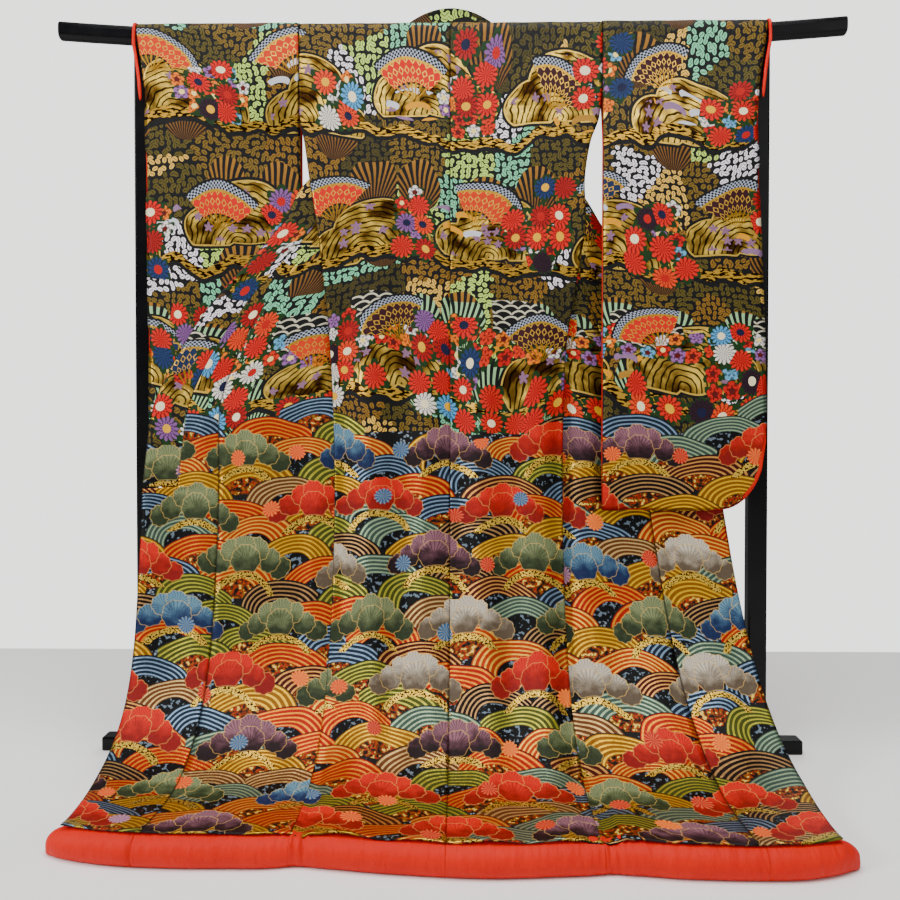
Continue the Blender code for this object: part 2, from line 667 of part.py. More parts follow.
def main():
    for old in list(bpy.data.objects):
        bpy.data.objects.remove(old)
    bpy.context.scene.collection.children.link(bpy.data.collections.new("uchikake_on_stand"))
    stand()
    for side, hand, table in ((-1, "left", LEFT_HALF), (1, "right", RIGHT_HALF)):
        back(f"back_{hand}", side, table)
        front(f"front_{hand}", side, table)
        okumi(f"okumi_{hand}", side, table)
        collar(f"collar_{hand}", side, table)
    nape_collar("collar_nape")
    for side, hand, hang_y, lower_edge in (
        (-1, "left", SLEEVE_HANG_LEFT, SLEEVE_EDGE_LEFT),
        (1, "right", SLEEVE_HANG_RIGHT, SLEEVE_EDGE_RIGHT),
    ):
        sleeve(f"sleeve_{hand}", side, hang_y, lower_edge)
        cuff_roll(f"cuff_{hand}", side, hang_y, lower_edge)
    for side, hand in ((-1, "left"), (1, "right")):
        gap = side * SEAM / 2
        side_seam_x, okumi_seam_x = side * HEM_SIDE_SEAM, side * HEM_OKUMI_SEAM
        hem_roll(f"hem_roll_back_{hand}", gap, side_seam_x - gap)
        hem_roll(f"hem_roll_front_{hand}", side_seam_x + gap, okumi_seam_x - gap)
        hem_roll(f"hem_roll_okumi_{hand}", okumi_seam_x + gap, side * HEM_TIP, TIP_RUN)


main()
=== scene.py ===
# %% [markdown]
# # An uchikake on its stand
#
# An uchikake is the long outer kimono of a wedding: figured brocade outside, plain red silk inside, and a
# thick roll of wadding along the hem.  Here it hangs on a lacquered stand with its back to the viewer and
# its fronts folded open.  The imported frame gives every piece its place; this file gives each piece its
# look.

# %% Load the frame
import bisect
import functools
import itertools
import math

import bmesh
import bpy
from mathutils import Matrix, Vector, noise


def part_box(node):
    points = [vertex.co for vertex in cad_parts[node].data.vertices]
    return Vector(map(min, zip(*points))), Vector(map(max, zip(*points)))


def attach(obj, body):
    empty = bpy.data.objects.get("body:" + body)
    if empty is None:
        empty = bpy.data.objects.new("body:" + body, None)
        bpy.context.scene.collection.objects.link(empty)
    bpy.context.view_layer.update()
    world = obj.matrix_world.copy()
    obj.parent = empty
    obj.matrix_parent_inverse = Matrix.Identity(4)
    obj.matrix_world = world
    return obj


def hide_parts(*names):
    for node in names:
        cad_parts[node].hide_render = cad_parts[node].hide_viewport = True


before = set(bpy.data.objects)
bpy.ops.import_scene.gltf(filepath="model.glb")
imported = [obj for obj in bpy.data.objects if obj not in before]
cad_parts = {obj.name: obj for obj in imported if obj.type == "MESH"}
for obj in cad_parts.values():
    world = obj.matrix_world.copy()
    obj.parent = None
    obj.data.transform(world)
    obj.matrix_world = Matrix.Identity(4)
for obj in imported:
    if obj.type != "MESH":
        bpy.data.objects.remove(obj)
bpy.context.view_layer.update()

print("nodes", len(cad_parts))

# %% [markdown]
# The driving sizes are those of the solids in the frame, so that each finer piece fits the solid it stands
# for.  The plane of the rod is read from the frame, and every place is worked out from the middle of the
# rod.  Lengths are in metres; drop is a length of cloth from the shoulder line.  Sizes that only one piece
# needs stand with that piece.

# %% Driving sizes
SIDES = (("left", -1), ("right", 1))
MIDDLE_Y = sum(corner.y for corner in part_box("rod")) / 2
WALL = 0.002  # brocade, thin wadding and lining, quilted as one layer
SEAM = 0.0003  # room between the solids of two pieces that are sewn together
JOIN = 0.0002  # overlap of two pieces here, so that no light shows through their seam
ROD_TOP = 1.575
SHOULDER_TOP = ROD_TOP + 0.006  # height of the back's outer face on the rod
SHOULDER_ROUND = 0.018  # height of the bend over the rod
SHOULDER_RUN = 0.030  # cloth in half of that bend
HANG_Y = 0.021  # from the middle of the rod to the cloth that falls beside it
HEM_LENGTH = 1.800
BACK_HALF = 0.325  # width of each back panel
NECK_HALF = 0.088
FRONT_WIDTH = 0.245
OKUMI_WIDTH = 0.160  # the okumi is the overlap panel that is sewn to a front
OKUMI_TOP = 0.270  # drop at which its point begins
OKUMI_TIP = 0.0016
COLLAR_WIDTH = 0.072
COLLAR_END = 1.000
print("rod plane at y =", round(MIDDLE_Y, 5))

# %% [markdown]
# How the cloth hangs was read from the garment at a few heights.  Each row gives the drop, how far the
# side seam lies from the centre seam, and how far the front is laid inward before it folds back on itself.
# The last table is the line of the hem on the floor.

# %% How the cloth hangs
HALVES = {
    "left": (
        # drop, seam, tuck
        (0.000, 0.3250, 0.3450),
        (0.140, 0.3250, 0.2980),
        (0.220, 0.3230, 0.2430),
        (0.270, 0.3130, 0.2050),
        (0.350, 0.3020, 0.1500),
        (0.440, 0.2870, 0.1220),
        (0.590, 0.2690, 0.0560),
        (0.690, 0.2600, 0.0220),
        (0.820, 0.2540, -0.0060),
        (0.980, 0.2500, -0.0160),
        (1.200, 0.2500, -0.0158),
        (1.800, 0.2560, -0.0158),
    ),
    "right": (
        # drop, seam, tuck
        (0.000, 0.3250, 0.3450),
        (0.140, 0.3250, 0.2980),
        (0.220, 0.3180, 0.2430),
        (0.270, 0.3000, 0.2080),
        (0.350, 0.2880, 0.1680),
        (0.440, 0.2900, 0.1420),
        (0.590, 0.2670, 0.1000),
        (0.690, 0.2520, 0.0740),
        (0.820, 0.2460, 0.0480),
        (0.980, 0.2440, 0.0260),
        (1.200, 0.2440, 0.0100),
        (1.500, 0.2480, -0.0060),
        (1.700, 0.2520, -0.0158),
        (1.800, 0.2540, -0.0158),
    ),
}
HEM_LINE = (
    # x, y
    (-0.660, -0.452),
    (-0.520, -0.476),
    (-0.300, -0.478),
    (-0.240, -0.472),
    (-0.100, -0.490),
    (0.060, -0.502),
    (0.200, -0.494),
    (0.270, -0.488),
    (0.400, -0.500),
    (0.560, -0.500),
    (0.656, -0.478),
)
print("rows of the halves", {hand: len(rows) for hand, rows in HALVES.items()})

# %% [markdown]
# A seam is never a chain of straight bits, so the rows are joined by a smooth curve that passes through
# each of them.  A second small function eases one value into another, and is used wherever one form runs
# into the next.

# %% Smooth curves
def along(table, position, column):
    """A column of a table at a position along its first column, on a smooth curve through the rows."""
    rows = [(row[0], row[column]) for row in table]
    if position <= rows[0][0]:
        return rows[0][1]
    if position >= rows[-1][0]:
        return rows[-1][1]
    index = max(i for i, row in enumerate(rows[:-1]) if row[0] <= position)
    (x1, y1), (x2, y2) = rows[index], rows[index + 1]
    x0, y0 = rows[index - 1] if index else (2 * x1 - x2, 2 * y1 - y2)
    x3, y3 = rows[index + 2] if index + 2 < len(rows) else (2 * x2 - x1, 2 * y2 - y1)
    slope1 = (y2 - y0) / (x2 - x0)
    slope2 = (y3 - y1) / (x3 - x1)
    run = x2 - x1
    f = (position - x1) / run
    return (
        y1 * (1 + 2 * f) * (1 - f) ** 2
        + slope1 * run * f * (1 - f) ** 2
        + y2 * f * f * (3 - 2 * f)
        + slope2 * run * f * f * (f - 1)
    )


def ease(value, start, end):
    """0 before start, 1 after end, and a smooth step between."""
    f = min(1.0, max(0.0, (value - start) / (end - start)))
    return f * f * (3 - 2 * f)


print("side seams half way down", [round(along(HALVES[hand], HEM_LENGTH / 2, 1), 3) for hand, _ in SIDES])

# %% [markdown]
# The cloth goes over the rod, falls straight, and runs out over the floor in one long curve.  That curve
# is a Bezier whose length is measured once, so that every point of the cloth can be found from its
# distance to the shoulder line.  A sheet made this way keeps its real length, which a free-hand curve
# would not.

# %% The hanging line
SWEEP_FROM = 0.760  # height at which the cloth begins to run out
SWEEP_CONTROL = ((0.000, 0.330), (-0.085, 0.040), (-0.300, 0.041))  # y from the falling cloth, and height
SWEEP_END = (HEM_LINE[4][1], 0.055)  # y and height of the seam above the hem roll
OVER_ROD = 0.05  # drop down to which the cloth keeps the bend over the rod


def bezier(points, f):
    """A point of a Bezier curve, by drawing its control points together."""
    points = [Vector(p) for p in points]
    while len(points) > 1:
        points = [a.lerp(b, f) for a, b in zip(points, points[1:])]
    return points[0]


def drop_profile(bend_steps=12, sweep_steps=400):
    """Rows of drop, y and height along the outer face of the back, from the shoulder line to the hem."""
    path = [Vector((0.0, SHOULDER_TOP))]
    for i in range(1, bend_steps + 1):
        angle = math.pi / 2 * i / bend_steps
        fallen = SHOULDER_ROUND * (1 - math.cos(angle))
        path.append(Vector((-HANG_Y * math.sin(angle), SHOULDER_TOP - fallen)))
    start = Vector((-HANG_Y, SWEEP_FROM))
    control = [Vector((-HANG_Y + y, height)) for y, height in SWEEP_CONTROL]
    path += [bezier([start, *control, SWEEP_END], i / sweep_steps) for i in range(sweep_steps + 1)]
    drops = [0.0, *itertools.accumulate((b - a).length for a, b in zip(path, path[1:]))]
    scale = HEM_LENGTH / drops[-1]
    return [(drop * scale, *point) for drop, point in zip(drops, path)]


PROFILE = drop_profile()


@functools.lru_cache(maxsize=None)
def hanging_line(drop):
    """Place and inner normal of the hanging line, as (y, z) pairs, at a drop."""
    drop = min(max(drop, 0.0), HEM_LENGTH)
    low = min(bisect.bisect_right(PROFILE, drop, key=lambda row: row[0]), len(PROFILE) - 1) - 1
    a, b = PROFILE[low], PROFILE[low + 1]
    f = (drop - a[0]) / (b[0] - a[0])
    place = Vector((a[1] + f * (b[1] - a[1]), a[2] + f * (b[2] - a[2])))
    before, after = PROFILE[max(0, low - 3)], PROFILE[min(len(PROFILE) - 1, low + 4)]
    run = Vector((after[1] - before[1], after[2] - before[2])).normalized()
    return place, Vector((-run.y, run.x))


def hang(x, drop, inward):
    """A point of the garment: x across, drop along the hanging line, inward from the back's outer face."""
    place, normal = hanging_line(drop)
    reach = (along(HEM_LINE, x, 1) + HANG_Y) / (SWEEP_END[0] + HANG_Y)
    sweep = place.x if drop < OVER_ROD else -HANG_Y + (place.x + HANG_Y) * reach
    return Vector((x, sweep + inward * normal.x, place.y + inward * normal.y))


print("length of the hanging line", round(PROFILE[-1][0], 3))

# %% [markdown]
# Brocade over wadding is stiff: it falls in a few wide, shallow folds that run out towards the hem.
# Beside the side seams it sinks into a trough, and where the hem roll is drawn in it lies in small pleats.
# The folds are waves added to the surface, which costs nothing and stays the same each time; a cloth
# simulation would not keep to the solids.

# %% Soft folds
FOLDS = ((0.0090, 0.118, 0.012), (0.0045, 0.271, -0.050))  # depth, width, and x of one of them
FOLDS_GROW, FOLDS_FADE = (0.30, 0.95), (1.30, 1.72)  # drops between which they do
SEAM_TROUGH = (0.0085, 0.027)  # depth and width of the trough along a side seam
TROUGH_GROWS, TROUGH_FADES = (0.50, 0.85), (1.45, 1.72)
GATHERS = (-0.240, 0.270)  # x of the places where the hem is drawn in
GATHER_RUN = 0.022
HEM_DIP, HEM_PLEAT = 0.0040, 0.0020  # depth of the dip and of the pleats there
HEM_DRAWN = (1.45, 1.76)  # drops between which they begin


def drawn_in(x, width, pleat=None):
    """How much the hem is drawn in at x: a rise at each gather, or pleats where their size is given."""
    return sum((math.cos((x - spot) / pleat) if pleat else 1.0) * math.exp(-((x - spot) / width) ** 2)
               for spot in GATHERS)


def soft_folds(x, drop):
    """The long soft folds of the hanging cloth, as a distance inward."""
    wave = sum(depth * math.cos(2 * math.pi * (x - spot) / width) for depth, width, spot in FOLDS)
    fall = ease(drop, *FOLDS_GROW) * (1 - 0.75 * ease(drop, *FOLDS_FADE))
    gather = HEM_DIP * drawn_in(x, GATHER_RUN) + HEM_PLEAT * drawn_in(x, 0.045, 0.0055)
    gather *= ease(drop, *HEM_DRAWN)
    seam = along(HALVES["right" if x > 0 else "left"], drop, 1)
    trough = SEAM_TROUGH[0] * math.exp(-((abs(x) - seam) / SEAM_TROUGH[1]) ** 2)
    trough *= ease(drop, *TROUGH_GROWS) * (1 - 0.7 * ease(drop, *TROUGH_FADES))
    return wave * fall * (1 - 0.75 * ease(abs(x), 0.25, 0.36)) + gather + trough


print("fold in the middle of the back", round(soft_folds(0.0, HEM_LENGTH / 2), 4))

# %% [markdown]
# A front is put together of three strips side by side: the front panel, the overlap panel, and the collar
# along its free edge.  The front panel widens below the neck, and the overlap tapers from a point.

# %% Widths of a front
def front_panel_width(drop):
    """Width of the cloth from the side seam to the seam beside the overlap."""
    return BACK_HALF - NECK_HALF + (FRONT_WIDTH - BACK_HALF + NECK_HALF) * ease(drop, 0.0, OKUMI_TOP)


def front_total(drop):
    """Width of the whole front, from the side seam to the free edge, with its overlap and collar."""
    f = min(1.0, max(0.0, (drop - OKUMI_TOP) / (COLLAR_END - OKUMI_TOP)))
    tip = OKUMI_TIP * ease(drop, OKUMI_TOP - 0.05, OKUMI_TOP)
    beyond_seam = COLLAR_WIDTH + tip + (OKUMI_WIDTH - COLLAR_WIDTH - OKUMI_TIP) * f
    return front_panel_width(drop) + beyond_seam


@functools.lru_cache(maxsize=None)
def seam_and_tuck(hand, drop):
    """How far the side seam lies from the middle, and how far the front is laid inward from it."""
    table = HALVES[hand]
    return min(BACK_HALF, along(table, drop, 1)), min(front_panel_width(drop), along(table, drop, 2))


print("open fronts:", round(front_total(HEM_LENGTH), 3), "m of cloth each at the hem")

# %% [markdown]
# Each front starts behind the rod, is laid inward, and folds back on itself along a slanting line, so that
# it opens outward like a wing.  Its surface is one strip, from the side seam to the free edge, that is
# bent round a small radius where it turns.  Front panel, overlap and collar are then cut out of that one
# surface.

# %% The open fronts
LAYER_ROOM = 0.0042  # between the cloth of back and front, where one lies on the other
LAYER_ROOM_RUN = 0.03  # of cloth beside the side seam, over which that room opens
FOLD_RADIUS = 0.005  # of the turn where a front folds back
TURN = math.pi * FOLD_RADIUS  # cloth in that turn
FAR_ROD_DROP = 0.034  # down to here a front follows the far side of the rod
FRONTS_LEVEL = (1.620, 1.745)  # drops between which a front comes down to the level of the back
FRONTS_FORWARD = (0.050, 0.340)  # drops between which it comes forward from behind the rod
RIGHT_SET_BACK = 0.010  # of the right front behind its sleeve
POST_X = 0.664
SLEEVE_INNER = 0.3253
# y of a sleeve at its inner and outer edge, and how far its near and far layer stand apart from there
SLEEVE_HANG = {"left": (0.012, -0.0245, 0.006, 0.014), "right": (-0.028, -0.0245, 0.006, 0.007)}


def turned_line(length):
    """A line that runs inward, turns round FOLD_RADIUS and runs back outward: its place across, behind."""
    around = length / FOLD_RADIUS
    if around < 0:
        return Vector((-length, 0.0))
    if around < math.pi:
        return Vector((-FOLD_RADIUS * math.sin(around), FOLD_RADIUS * (1 - math.cos(around))))
    return Vector((length - TURN, 2 * FOLD_RADIUS))


def sway(side, x, seam, drop, past_fold):
    """The left front passes before its sleeve; the right front hangs behind its sleeve."""
    free = ease(drop, 0.30, 0.44) * (1 - ease(drop, 1.15, 1.50)) * ease(past_fold, 0.0, TURN)
    if side > 0:
        return RIGHT_SET_BACK * free * ease(x, seam, SLEEVE_INNER)
    hang_y = SLEEVE_HANG["left"]
    return free * (hang_y[1] - hang_y[0]) * (x - seam) / (POST_X - seam)


def open_front(hand, side):
    """The surface of one open front, by width along the cloth from the side seam and by drop."""
    def surface(width, drop):
        seam, tuck = seam_and_tuck(hand, drop)
        run, lift = turned_line(width - tuck) - turned_line(-tuck)
        opened = ease(-tuck, 0.0, 0.7 * TURN)
        room = SEAM + (LAYER_ROOM - SEAM) * ease(width, 0.0, LAYER_ROOM_RUN)
        behind = ((2 - opened) * WALL + room) * (1 - ease(drop, *FRONTS_LEVEL))
        hung = behind + (2 * HANG_Y - behind) * (1 - ease(drop, *FRONTS_FORWARD))
        x = seam + SEAM * opened + run
        inward = hung + lift + sway(side, x, seam, drop, width - tuck)
        if drop < FAR_ROD_DROP:
            point = hang(side * x, drop, 0.0)
            point.y = -point.y + SEAM / 2
            return point
        return hang(side * x, drop, inward + soft_folds(side * x, drop))

    return surface


for hand, side in SIDES:
    free_corner = open_front(hand, side)(front_total(HEM_LENGTH), HEM_LENGTH)
    print("free corner of the", hand, "front at x =", round(free_corner.x, 3))

# %% [markdown]
# Every finish is made of shader nodes.  One small function adds a node: it is given the kind of node, with
# an operation after a space where the kind has one, then the values or links for its inputs in order,
# where None leaves an input as it is.  Colours are written as sRGB hex and turned linear, because a shader
# reckons with linear light.  Four operations that come back all the time have short names.

# %% A helper for materials
LESS, MORE = "Math LESS_THAN", "Math GREATER_THAN"
TIMES, TIMES_PLUS = "Math MULTIPLY", "Math MULTIPLY_ADD"


def linear(hex_colour):
    """An sRGB colour such as 'c8102e' as the linear red, green, blue and alpha that a shader reads."""
    values = [int(hex_colour[i:i + 2], 16) / 255 for i in (0, 2, 4)]
    return [v / 12.92 if v <= 0.04045 else ((v + 0.055) / 1.055) ** 2.4 for v in values] + [1.0]


def put(tree, kind, *inputs, out=0, stops=(), **settings):
    """Add a node with its settings and links, and give back the output, or the outputs, asked for."""
    kind, _, operation = kind.partition(" ")
    node = tree.nodes.new("ShaderNode" + kind)
    if operation:
        node.operation = operation
    for name, value in settings.items():
        setattr(node, name, value)
    if stops:
        node.color_ramp.interpolation = "CONSTANT"
        node.color_ramp.elements.remove(node.color_ramp.elements[1])
        for i, (begin, colour) in enumerate(stops):
            stop = node.color_ramp.elements.new(begin) if i else node.color_ramp.elements[0]
            stop.color = linear(colour)
    for socket, value in zip(node.inputs, inputs):
        if isinstance(value, bpy.types.NodeSocket):
            tree.links.new(value, socket)
        elif isinstance(value, str):
            socket.default_value = linear(value)
        elif value is not None:
            socket.default_value = value
    return [node.outputs[i] for i in out] if isinstance(out, tuple) else node.outputs[out]


def material(name):
    """A new material, and a short name for adding nodes to it."""
    finish = bpy.data.materials.new(name)
    finish.use_nodes = True
    return finish, functools.partial(put, finish.node_tree)


def set_shader(finish, looks):
    """Set inputs of the shader by name: a link where the look varies, a plain value where it does not."""
    inputs = finish.node_tree.nodes["Principled BSDF"].inputs
    for name, look in looks.items():
        if isinstance(look, bpy.types.NodeSocket):
            finish.node_tree.links.new(look, inputs[name])
        else:
            inputs[name].default_value = look
    print(finish.name, len(finish.node_tree.nodes), "nodes")
    return finish


# %% [markdown]
# The brocade is woven in one piece, of black silk warp with weft of coloured floss and of gilt paper
# thread.  Its design has two parts: flowers, golden knolls and folding fans above, striped waves with pine
# clumps below.  Nodes draw all of it over the cloth's own UV map, in metres.  They use a lattice of cells
# in staggered rows: each cell gives its motif a place measured from the motif's middle, and three random
# numbers that choose its colour, its turn and its size.

# %% Cells for the woven motifs
def cells(add, place, size, stagger, jitter, seed, row_below=0):
    """The place in the nearest cell, three random numbers for that cell, and the number of its row."""
    scaled = add("VectorMath DIVIDE", place, (*size, 1.0))
    row = add("Math FLOOR", add("SeparateXYZ", scaled, out=1))
    if row_below:
        row = add("Math SUBTRACT", row, float(row_below))
    shifted = add("VectorMath ADD", scaled, add("CombineXYZ", add(TIMES, row, stagger)))
    column = add("Math FLOOR", add("SeparateXYZ", shifted))
    number = add("CombineXYZ", column, row, float(seed))
    chance = add("SeparateColor", add("TexWhiteNoise", number, out=1), out=(0, 1, 2))
    middle = 0.5 - 0.5 * jitter
    centre = add("CombineXYZ", add(TIMES_PLUS, chance[0], jitter, middle),
                 add(TIMES_PLUS, chance[1], jitter, middle))
    inside = add("VectorMath SUBTRACT", add("VectorMath SUBTRACT", shifted, number), centre)
    return add("VectorMath MULTIPLY", inside, (*size, 0.0)), chance, row


def rosettes(add, place, spacing, randomness):
    """The place in the nearest rosette, its middle, and three random numbers for it."""
    tone, middle = add("TexVoronoi", place, None, 1 / spacing, None, None, None, None, None, randomness,
                       out=(1, 2), voronoi_dimensions="2D")
    return add("VectorMath SUBTRACT", place, middle), middle, add("SeparateColor", tone, out=(0, 1, 2))


# %% [markdown]
# A motif is then made of a few simple shapes: everything nearer to a middle than some length is a disc, a
# stretched disc is a leaf, and a wave round the middle cuts a disc into petals.

# %% Shapes for the woven motifs
def length_from(add, place, centre=(0.0, 0.0), stretch=(1.0, 1.0)):
    """Distance from a centre, in units of stretch."""
    if any(centre):
        place = add("VectorMath SUBTRACT", place, (*centre, 0.0))
    if stretch != (1.0, 1.0):
        place = add("VectorMath DIVIDE", place, (*stretch, 1.0))
    return add("VectorMath LENGTH", place, out=1)


def turned(add, place, chance, most):
    """The place turned by up to most radians either way."""
    angle = add(TIMES_PLUS, chance, 2 * most, -most)
    return add("VectorRotate", place, None, None, angle, rotation_type="Z_AXIS")


def petals(add, place, count, turn=0.0):
    """A wave that runs count times round the middle, from -1 to 1."""
    angle = add("Math ARCTAN2", *add("SeparateXYZ", place, out=(0, 1)))
    return add("Math COSINE", add(TIMES_PLUS, angle, float(count), turn))


def both(add, first, *masks):
    """1 where all masks are 1; a plain number among them weakens the mask."""
    for mask in masks:
        first = add(TIMES, first, mask)
    return first


# %% [markdown]
# A motif gives its layers from the back to the front.  A layer is a mask, a colour, and how much of its
# thread is gilt: floss is matt silk, gilt thread shines like brushed metal.  Sprays of leaves fill the
# ground between the larger motifs, so they come first.  A woven leaf is slit by a line of black 0.5 mm
# wide, which is drawn at 1.2 mm to show.

# %% Leaves and grasses
FLOSS, GILT = 0.0, 1.0
LEAF = (0.0045, 0.0061)  # half width and half length
LEAF_SPACING = 0.0122
SLIT = 0.0006  # half width
GRASS = (0.048, 0.062)  # half width and half height of a bundle
GRASS_FOOT = 0.080  # from the middle of a bundle down to where its blades meet


def leaf_sprays(add, place):
    """Small oval leaves with a slit along the middle; those of one spray share a colour."""
    leaf, middle, chance = rosettes(add, place, LEAF_SPACING, randomness=0.62)
    leaf = turned(add, leaf, chance[0], most=1.3)
    oval = length_from(add, leaf, stretch=LEAF)
    slit = add(LESS, add("Math ABSOLUTE", add("SeparateXYZ", leaf)), SLIT)
    patch = add("TexVoronoi", middle, None, 9.0, out=1, voronoi_dimensions="2D")
    colour = add("ValToRGB", add("SeparateColor", patch), stops=(
        (0.0, "8c8240"), (0.20, "f4eef2"), (0.31, "a4904a"), (0.46, "a8dcc0"), (0.55, "7c7438"),
        (0.64, "d4e698"), (0.74, "b09448"), (0.90, "ecd084")))
    slit = both(add, slit, add(LESS, oval, 0.72))
    yield add(LESS, oval, 1.0), add("MixRGB", slit, colour, "1d170f"), FLOSS


def grasses(add, place):
    """Bundles of thin blades that spread from one foot, golden brown above and pale green near the waves."""
    inside, chance, _ = cells(add, place, (0.122, 0.142), stagger=0.41, jitter=0.35, seed=31)
    foot = add("VectorMath ADD", inside, (0.0, GRASS_FOOT, 0.0))
    blades = add(MORE, petals(add, foot, 58), 0.15)
    reach = length_from(add, foot)
    near = add(LESS, length_from(add, inside, stretch=GRASS), 1.0)
    near = both(add, near, add(MORE, chance[2], 0.45))
    colour = add("MixRGB", add(TIMES, reach, 6.0, use_clamp=True), "8a6a34", "c8a458")
    low = add(LESS, add("SeparateXYZ", place, out=1), -0.60)
    yield near, "17130e", FLOSS
    yield both(add, near, blades), add("MixRGB", low, colour, "bcd8b4"), FLOSS


print("leaves", [round(2000 * half, 1) for half in LEAF], "mm")

# %% [markdown]
# The knolls are the largest golden forms.  On the real cloth their gilt thread is laid in rings, so they
# look engraved and change from bright to dark as the eye moves.  Here a slow noise gives that change of
# light, and a ring wave the engraving, coarser than the woven one.

# %% Knolls
SCENE_CELL = (0.300, 0.290)  # the larger motifs stand in staggered rows of such cells
SCENE_STAGGER = 0.46
SWELLINGS = (((0.0, 0.014), 0.086), ((-0.076, -0.022), 0.062), ((0.076, -0.028), 0.058))  # middle, radius
KNOLL_FOOT = 0.060  # below its middle a knoll is cut off level
KNOLL_RIM = 0.006  # black line round it, and a bright one of 3.5 mm inside


def knolls(add, place):
    """Rounded golden knolls of three swellings, engraved with fine rings, bright where they catch light."""
    inside, _, _ = cells(add, place, SCENE_CELL, stagger=SCENE_STAGGER, jitter=0.22, seed=7)
    swellings = [add("Math SUBTRACT", length_from(add, inside, centre, (1.0, 0.82)), size)
                 for centre, size in SWELLINGS]
    edge = add("Math MINIMUM", swellings[0], add("Math MINIMUM", swellings[1], swellings[2]))
    foot = add("Math SUBTRACT", -KNOLL_FOOT, add("SeparateXYZ", inside, out=1))
    edge = add("Math MAXIMUM", edge, foot)
    rings = add("TexWave", add("VectorMath ADD", inside, (0.02, 0.05, 0.0)), 27.0, 6.0, 2.0, 0.9, out=1,
                wave_type="RINGS", rings_direction="Z")
    glow = add("MapRange", add("TexNoise", place, None, 21.0, 2.0), 0.36, 0.64, 0.0, 1.0)
    groove = both(add, add(LESS, rings, 0.20), 0.8)
    colour = add("MixRGB", groove, add("MixRGB", glow, "745818", "f6e090"), "2c1e0a")
    spray, _, tones = rosettes(add, place, 0.026, randomness=0.8)
    lobes = add(TIMES_PLUS, petals(add, spray, 5), 0.0030, 0.0082)
    blossom = both(add, add(LESS, length_from(add, spray), lobes),
                   add(LESS, tones[0], 0.30), add(LESS, edge, -0.012))
    yield add(LESS, edge, KNOLL_RIM), "0f0c0a", FLOSS
    yield add(LESS, edge, 0.0), "e6cf86", GILT
    yield add(LESS, edge, -0.0035), colour, GILT
    yield blossom, "b094a8", FLOSS


print("widest knoll", round(2 * (SWELLINGS[1][1] - SWELLINGS[1][0][0]), 3), "m")

# %% [markdown]
# Banks wind across the whole width and tie the groups together.  Ferns and little clouds are fill-ins:
# each keeps to a patch of its own, so that the eye finds some calm ground between them.

# %% Banks, ferns and small clouds
BANK_SPACING = 0.292


def banks(add, place):
    """Long winding banks: a black line with a golden mottled edge above it."""
    swing = add("TexNoise", add("VectorMath MULTIPLY", place, (1.0, 0.2, 1.0)), None, 8.5, 2.0)
    height = add(TIMES_PLUS, swing, 0.13, add("SeparateXYZ", place, out=1))
    level = add("Math SUBTRACT", add("Math FRACT", add("Math DIVIDE", height, BANK_SPACING)), 0.42)
    mottle = add("TexNoise", add("VectorMath MULTIPLY", place, (1.0, 3.0, 1.0)), None, 70.0, 1.0)
    gold = add("MixRGB", add(MORE, mottle, 0.49), "52400f", "dcc070")
    yield add("Math COMPARE", level, 0.010, 0.018), "100d0b", FLOSS
    yield add("Math COMPARE", level, 0.064, 0.036), gold, GILT


def ferns(add, place):
    """Arched white fronds, one over another, on black."""
    inside, _, _ = cells(add, place, (0.030, 0.013), stagger=0.5, jitter=0.10, seed=71)
    frond = add("Math COMPARE", length_from(add, inside, (0.0, -0.016)), 0.018, 0.0020)
    group = cells(add, place, SCENE_CELL, stagger=SCENE_STAGGER, jitter=0.10, seed=73)[0]
    there = add(LESS, length_from(add, group, (-0.10, 0.075), (0.085, 0.048)), 1.0)
    there = both(add, there, add(LESS, add("SeparateXYZ", place, out=1), -0.45))
    yield there, "0e0c0c", FLOSS
    yield both(add, there, frond), "dcd8c8", FLOSS


def small_clouds(add, place):
    """Little crescents of yellow, white and lilac floss."""
    inside, chance, _ = cells(add, place, (0.066, 0.034), stagger=0.37, jitter=0.30, seed=61)
    top = add(LESS, length_from(add, inside, (0.0, -0.004), (0.025, 0.0125)), 1.0)
    hollow = add(MORE, length_from(add, inside, (0.0, -0.020), (0.024, 0.016)), 1.0)
    group = cells(add, place, (0.330, 0.290), stagger=0.30, jitter=0.30, seed=67)[0]
    there = add(LESS, length_from(add, group, stretch=(0.062, 0.036)), 1.0)
    colour = add("ValToRGB", chance[2], stops=((0.0, "e6bb20"), (0.36, "dcdce0"), (0.68, "b49cb4"),
                                               (0.84, "c7a75c")))
    yield both(add, top, hollow, there), colour, FLOSS


print("banks every", BANK_SPACING, "m")

# %% [markdown]
# Flowers are the brightest floss of the cloth.  One function serves small five-petalled blossoms and large
# many-petalled heads: it is told their size, the number of petals, the dyes to choose from, and where they
# stand.

# %% Flower heads
WARM = ((0.0, "e2450c"), (0.34, "ea7418"), (0.48, "c62a08"), (0.62, "e0500e"), (0.72, "86bedc"),
        (0.78, "446894"), (0.84, "ece8e0"), (0.90, "ab86b4"), (0.95, "5c2850"))
WARM_HEARTS = ((0.0, "cf3a0a"), (0.30, "f4ecd2"), (0.65, "ecc84a"), (0.88, "2e3c6c"))
MIXED = ((0.0, "eda21a"), (0.20, "e2641a"), (0.40, "eae6e2"), (0.56, "b792be"), (0.70, "d8401a"),
         (0.86, "94c4da"))
MIXED_HEARTS = ((0.0, "8c2c1a"), (0.5, "f6e6ac"))


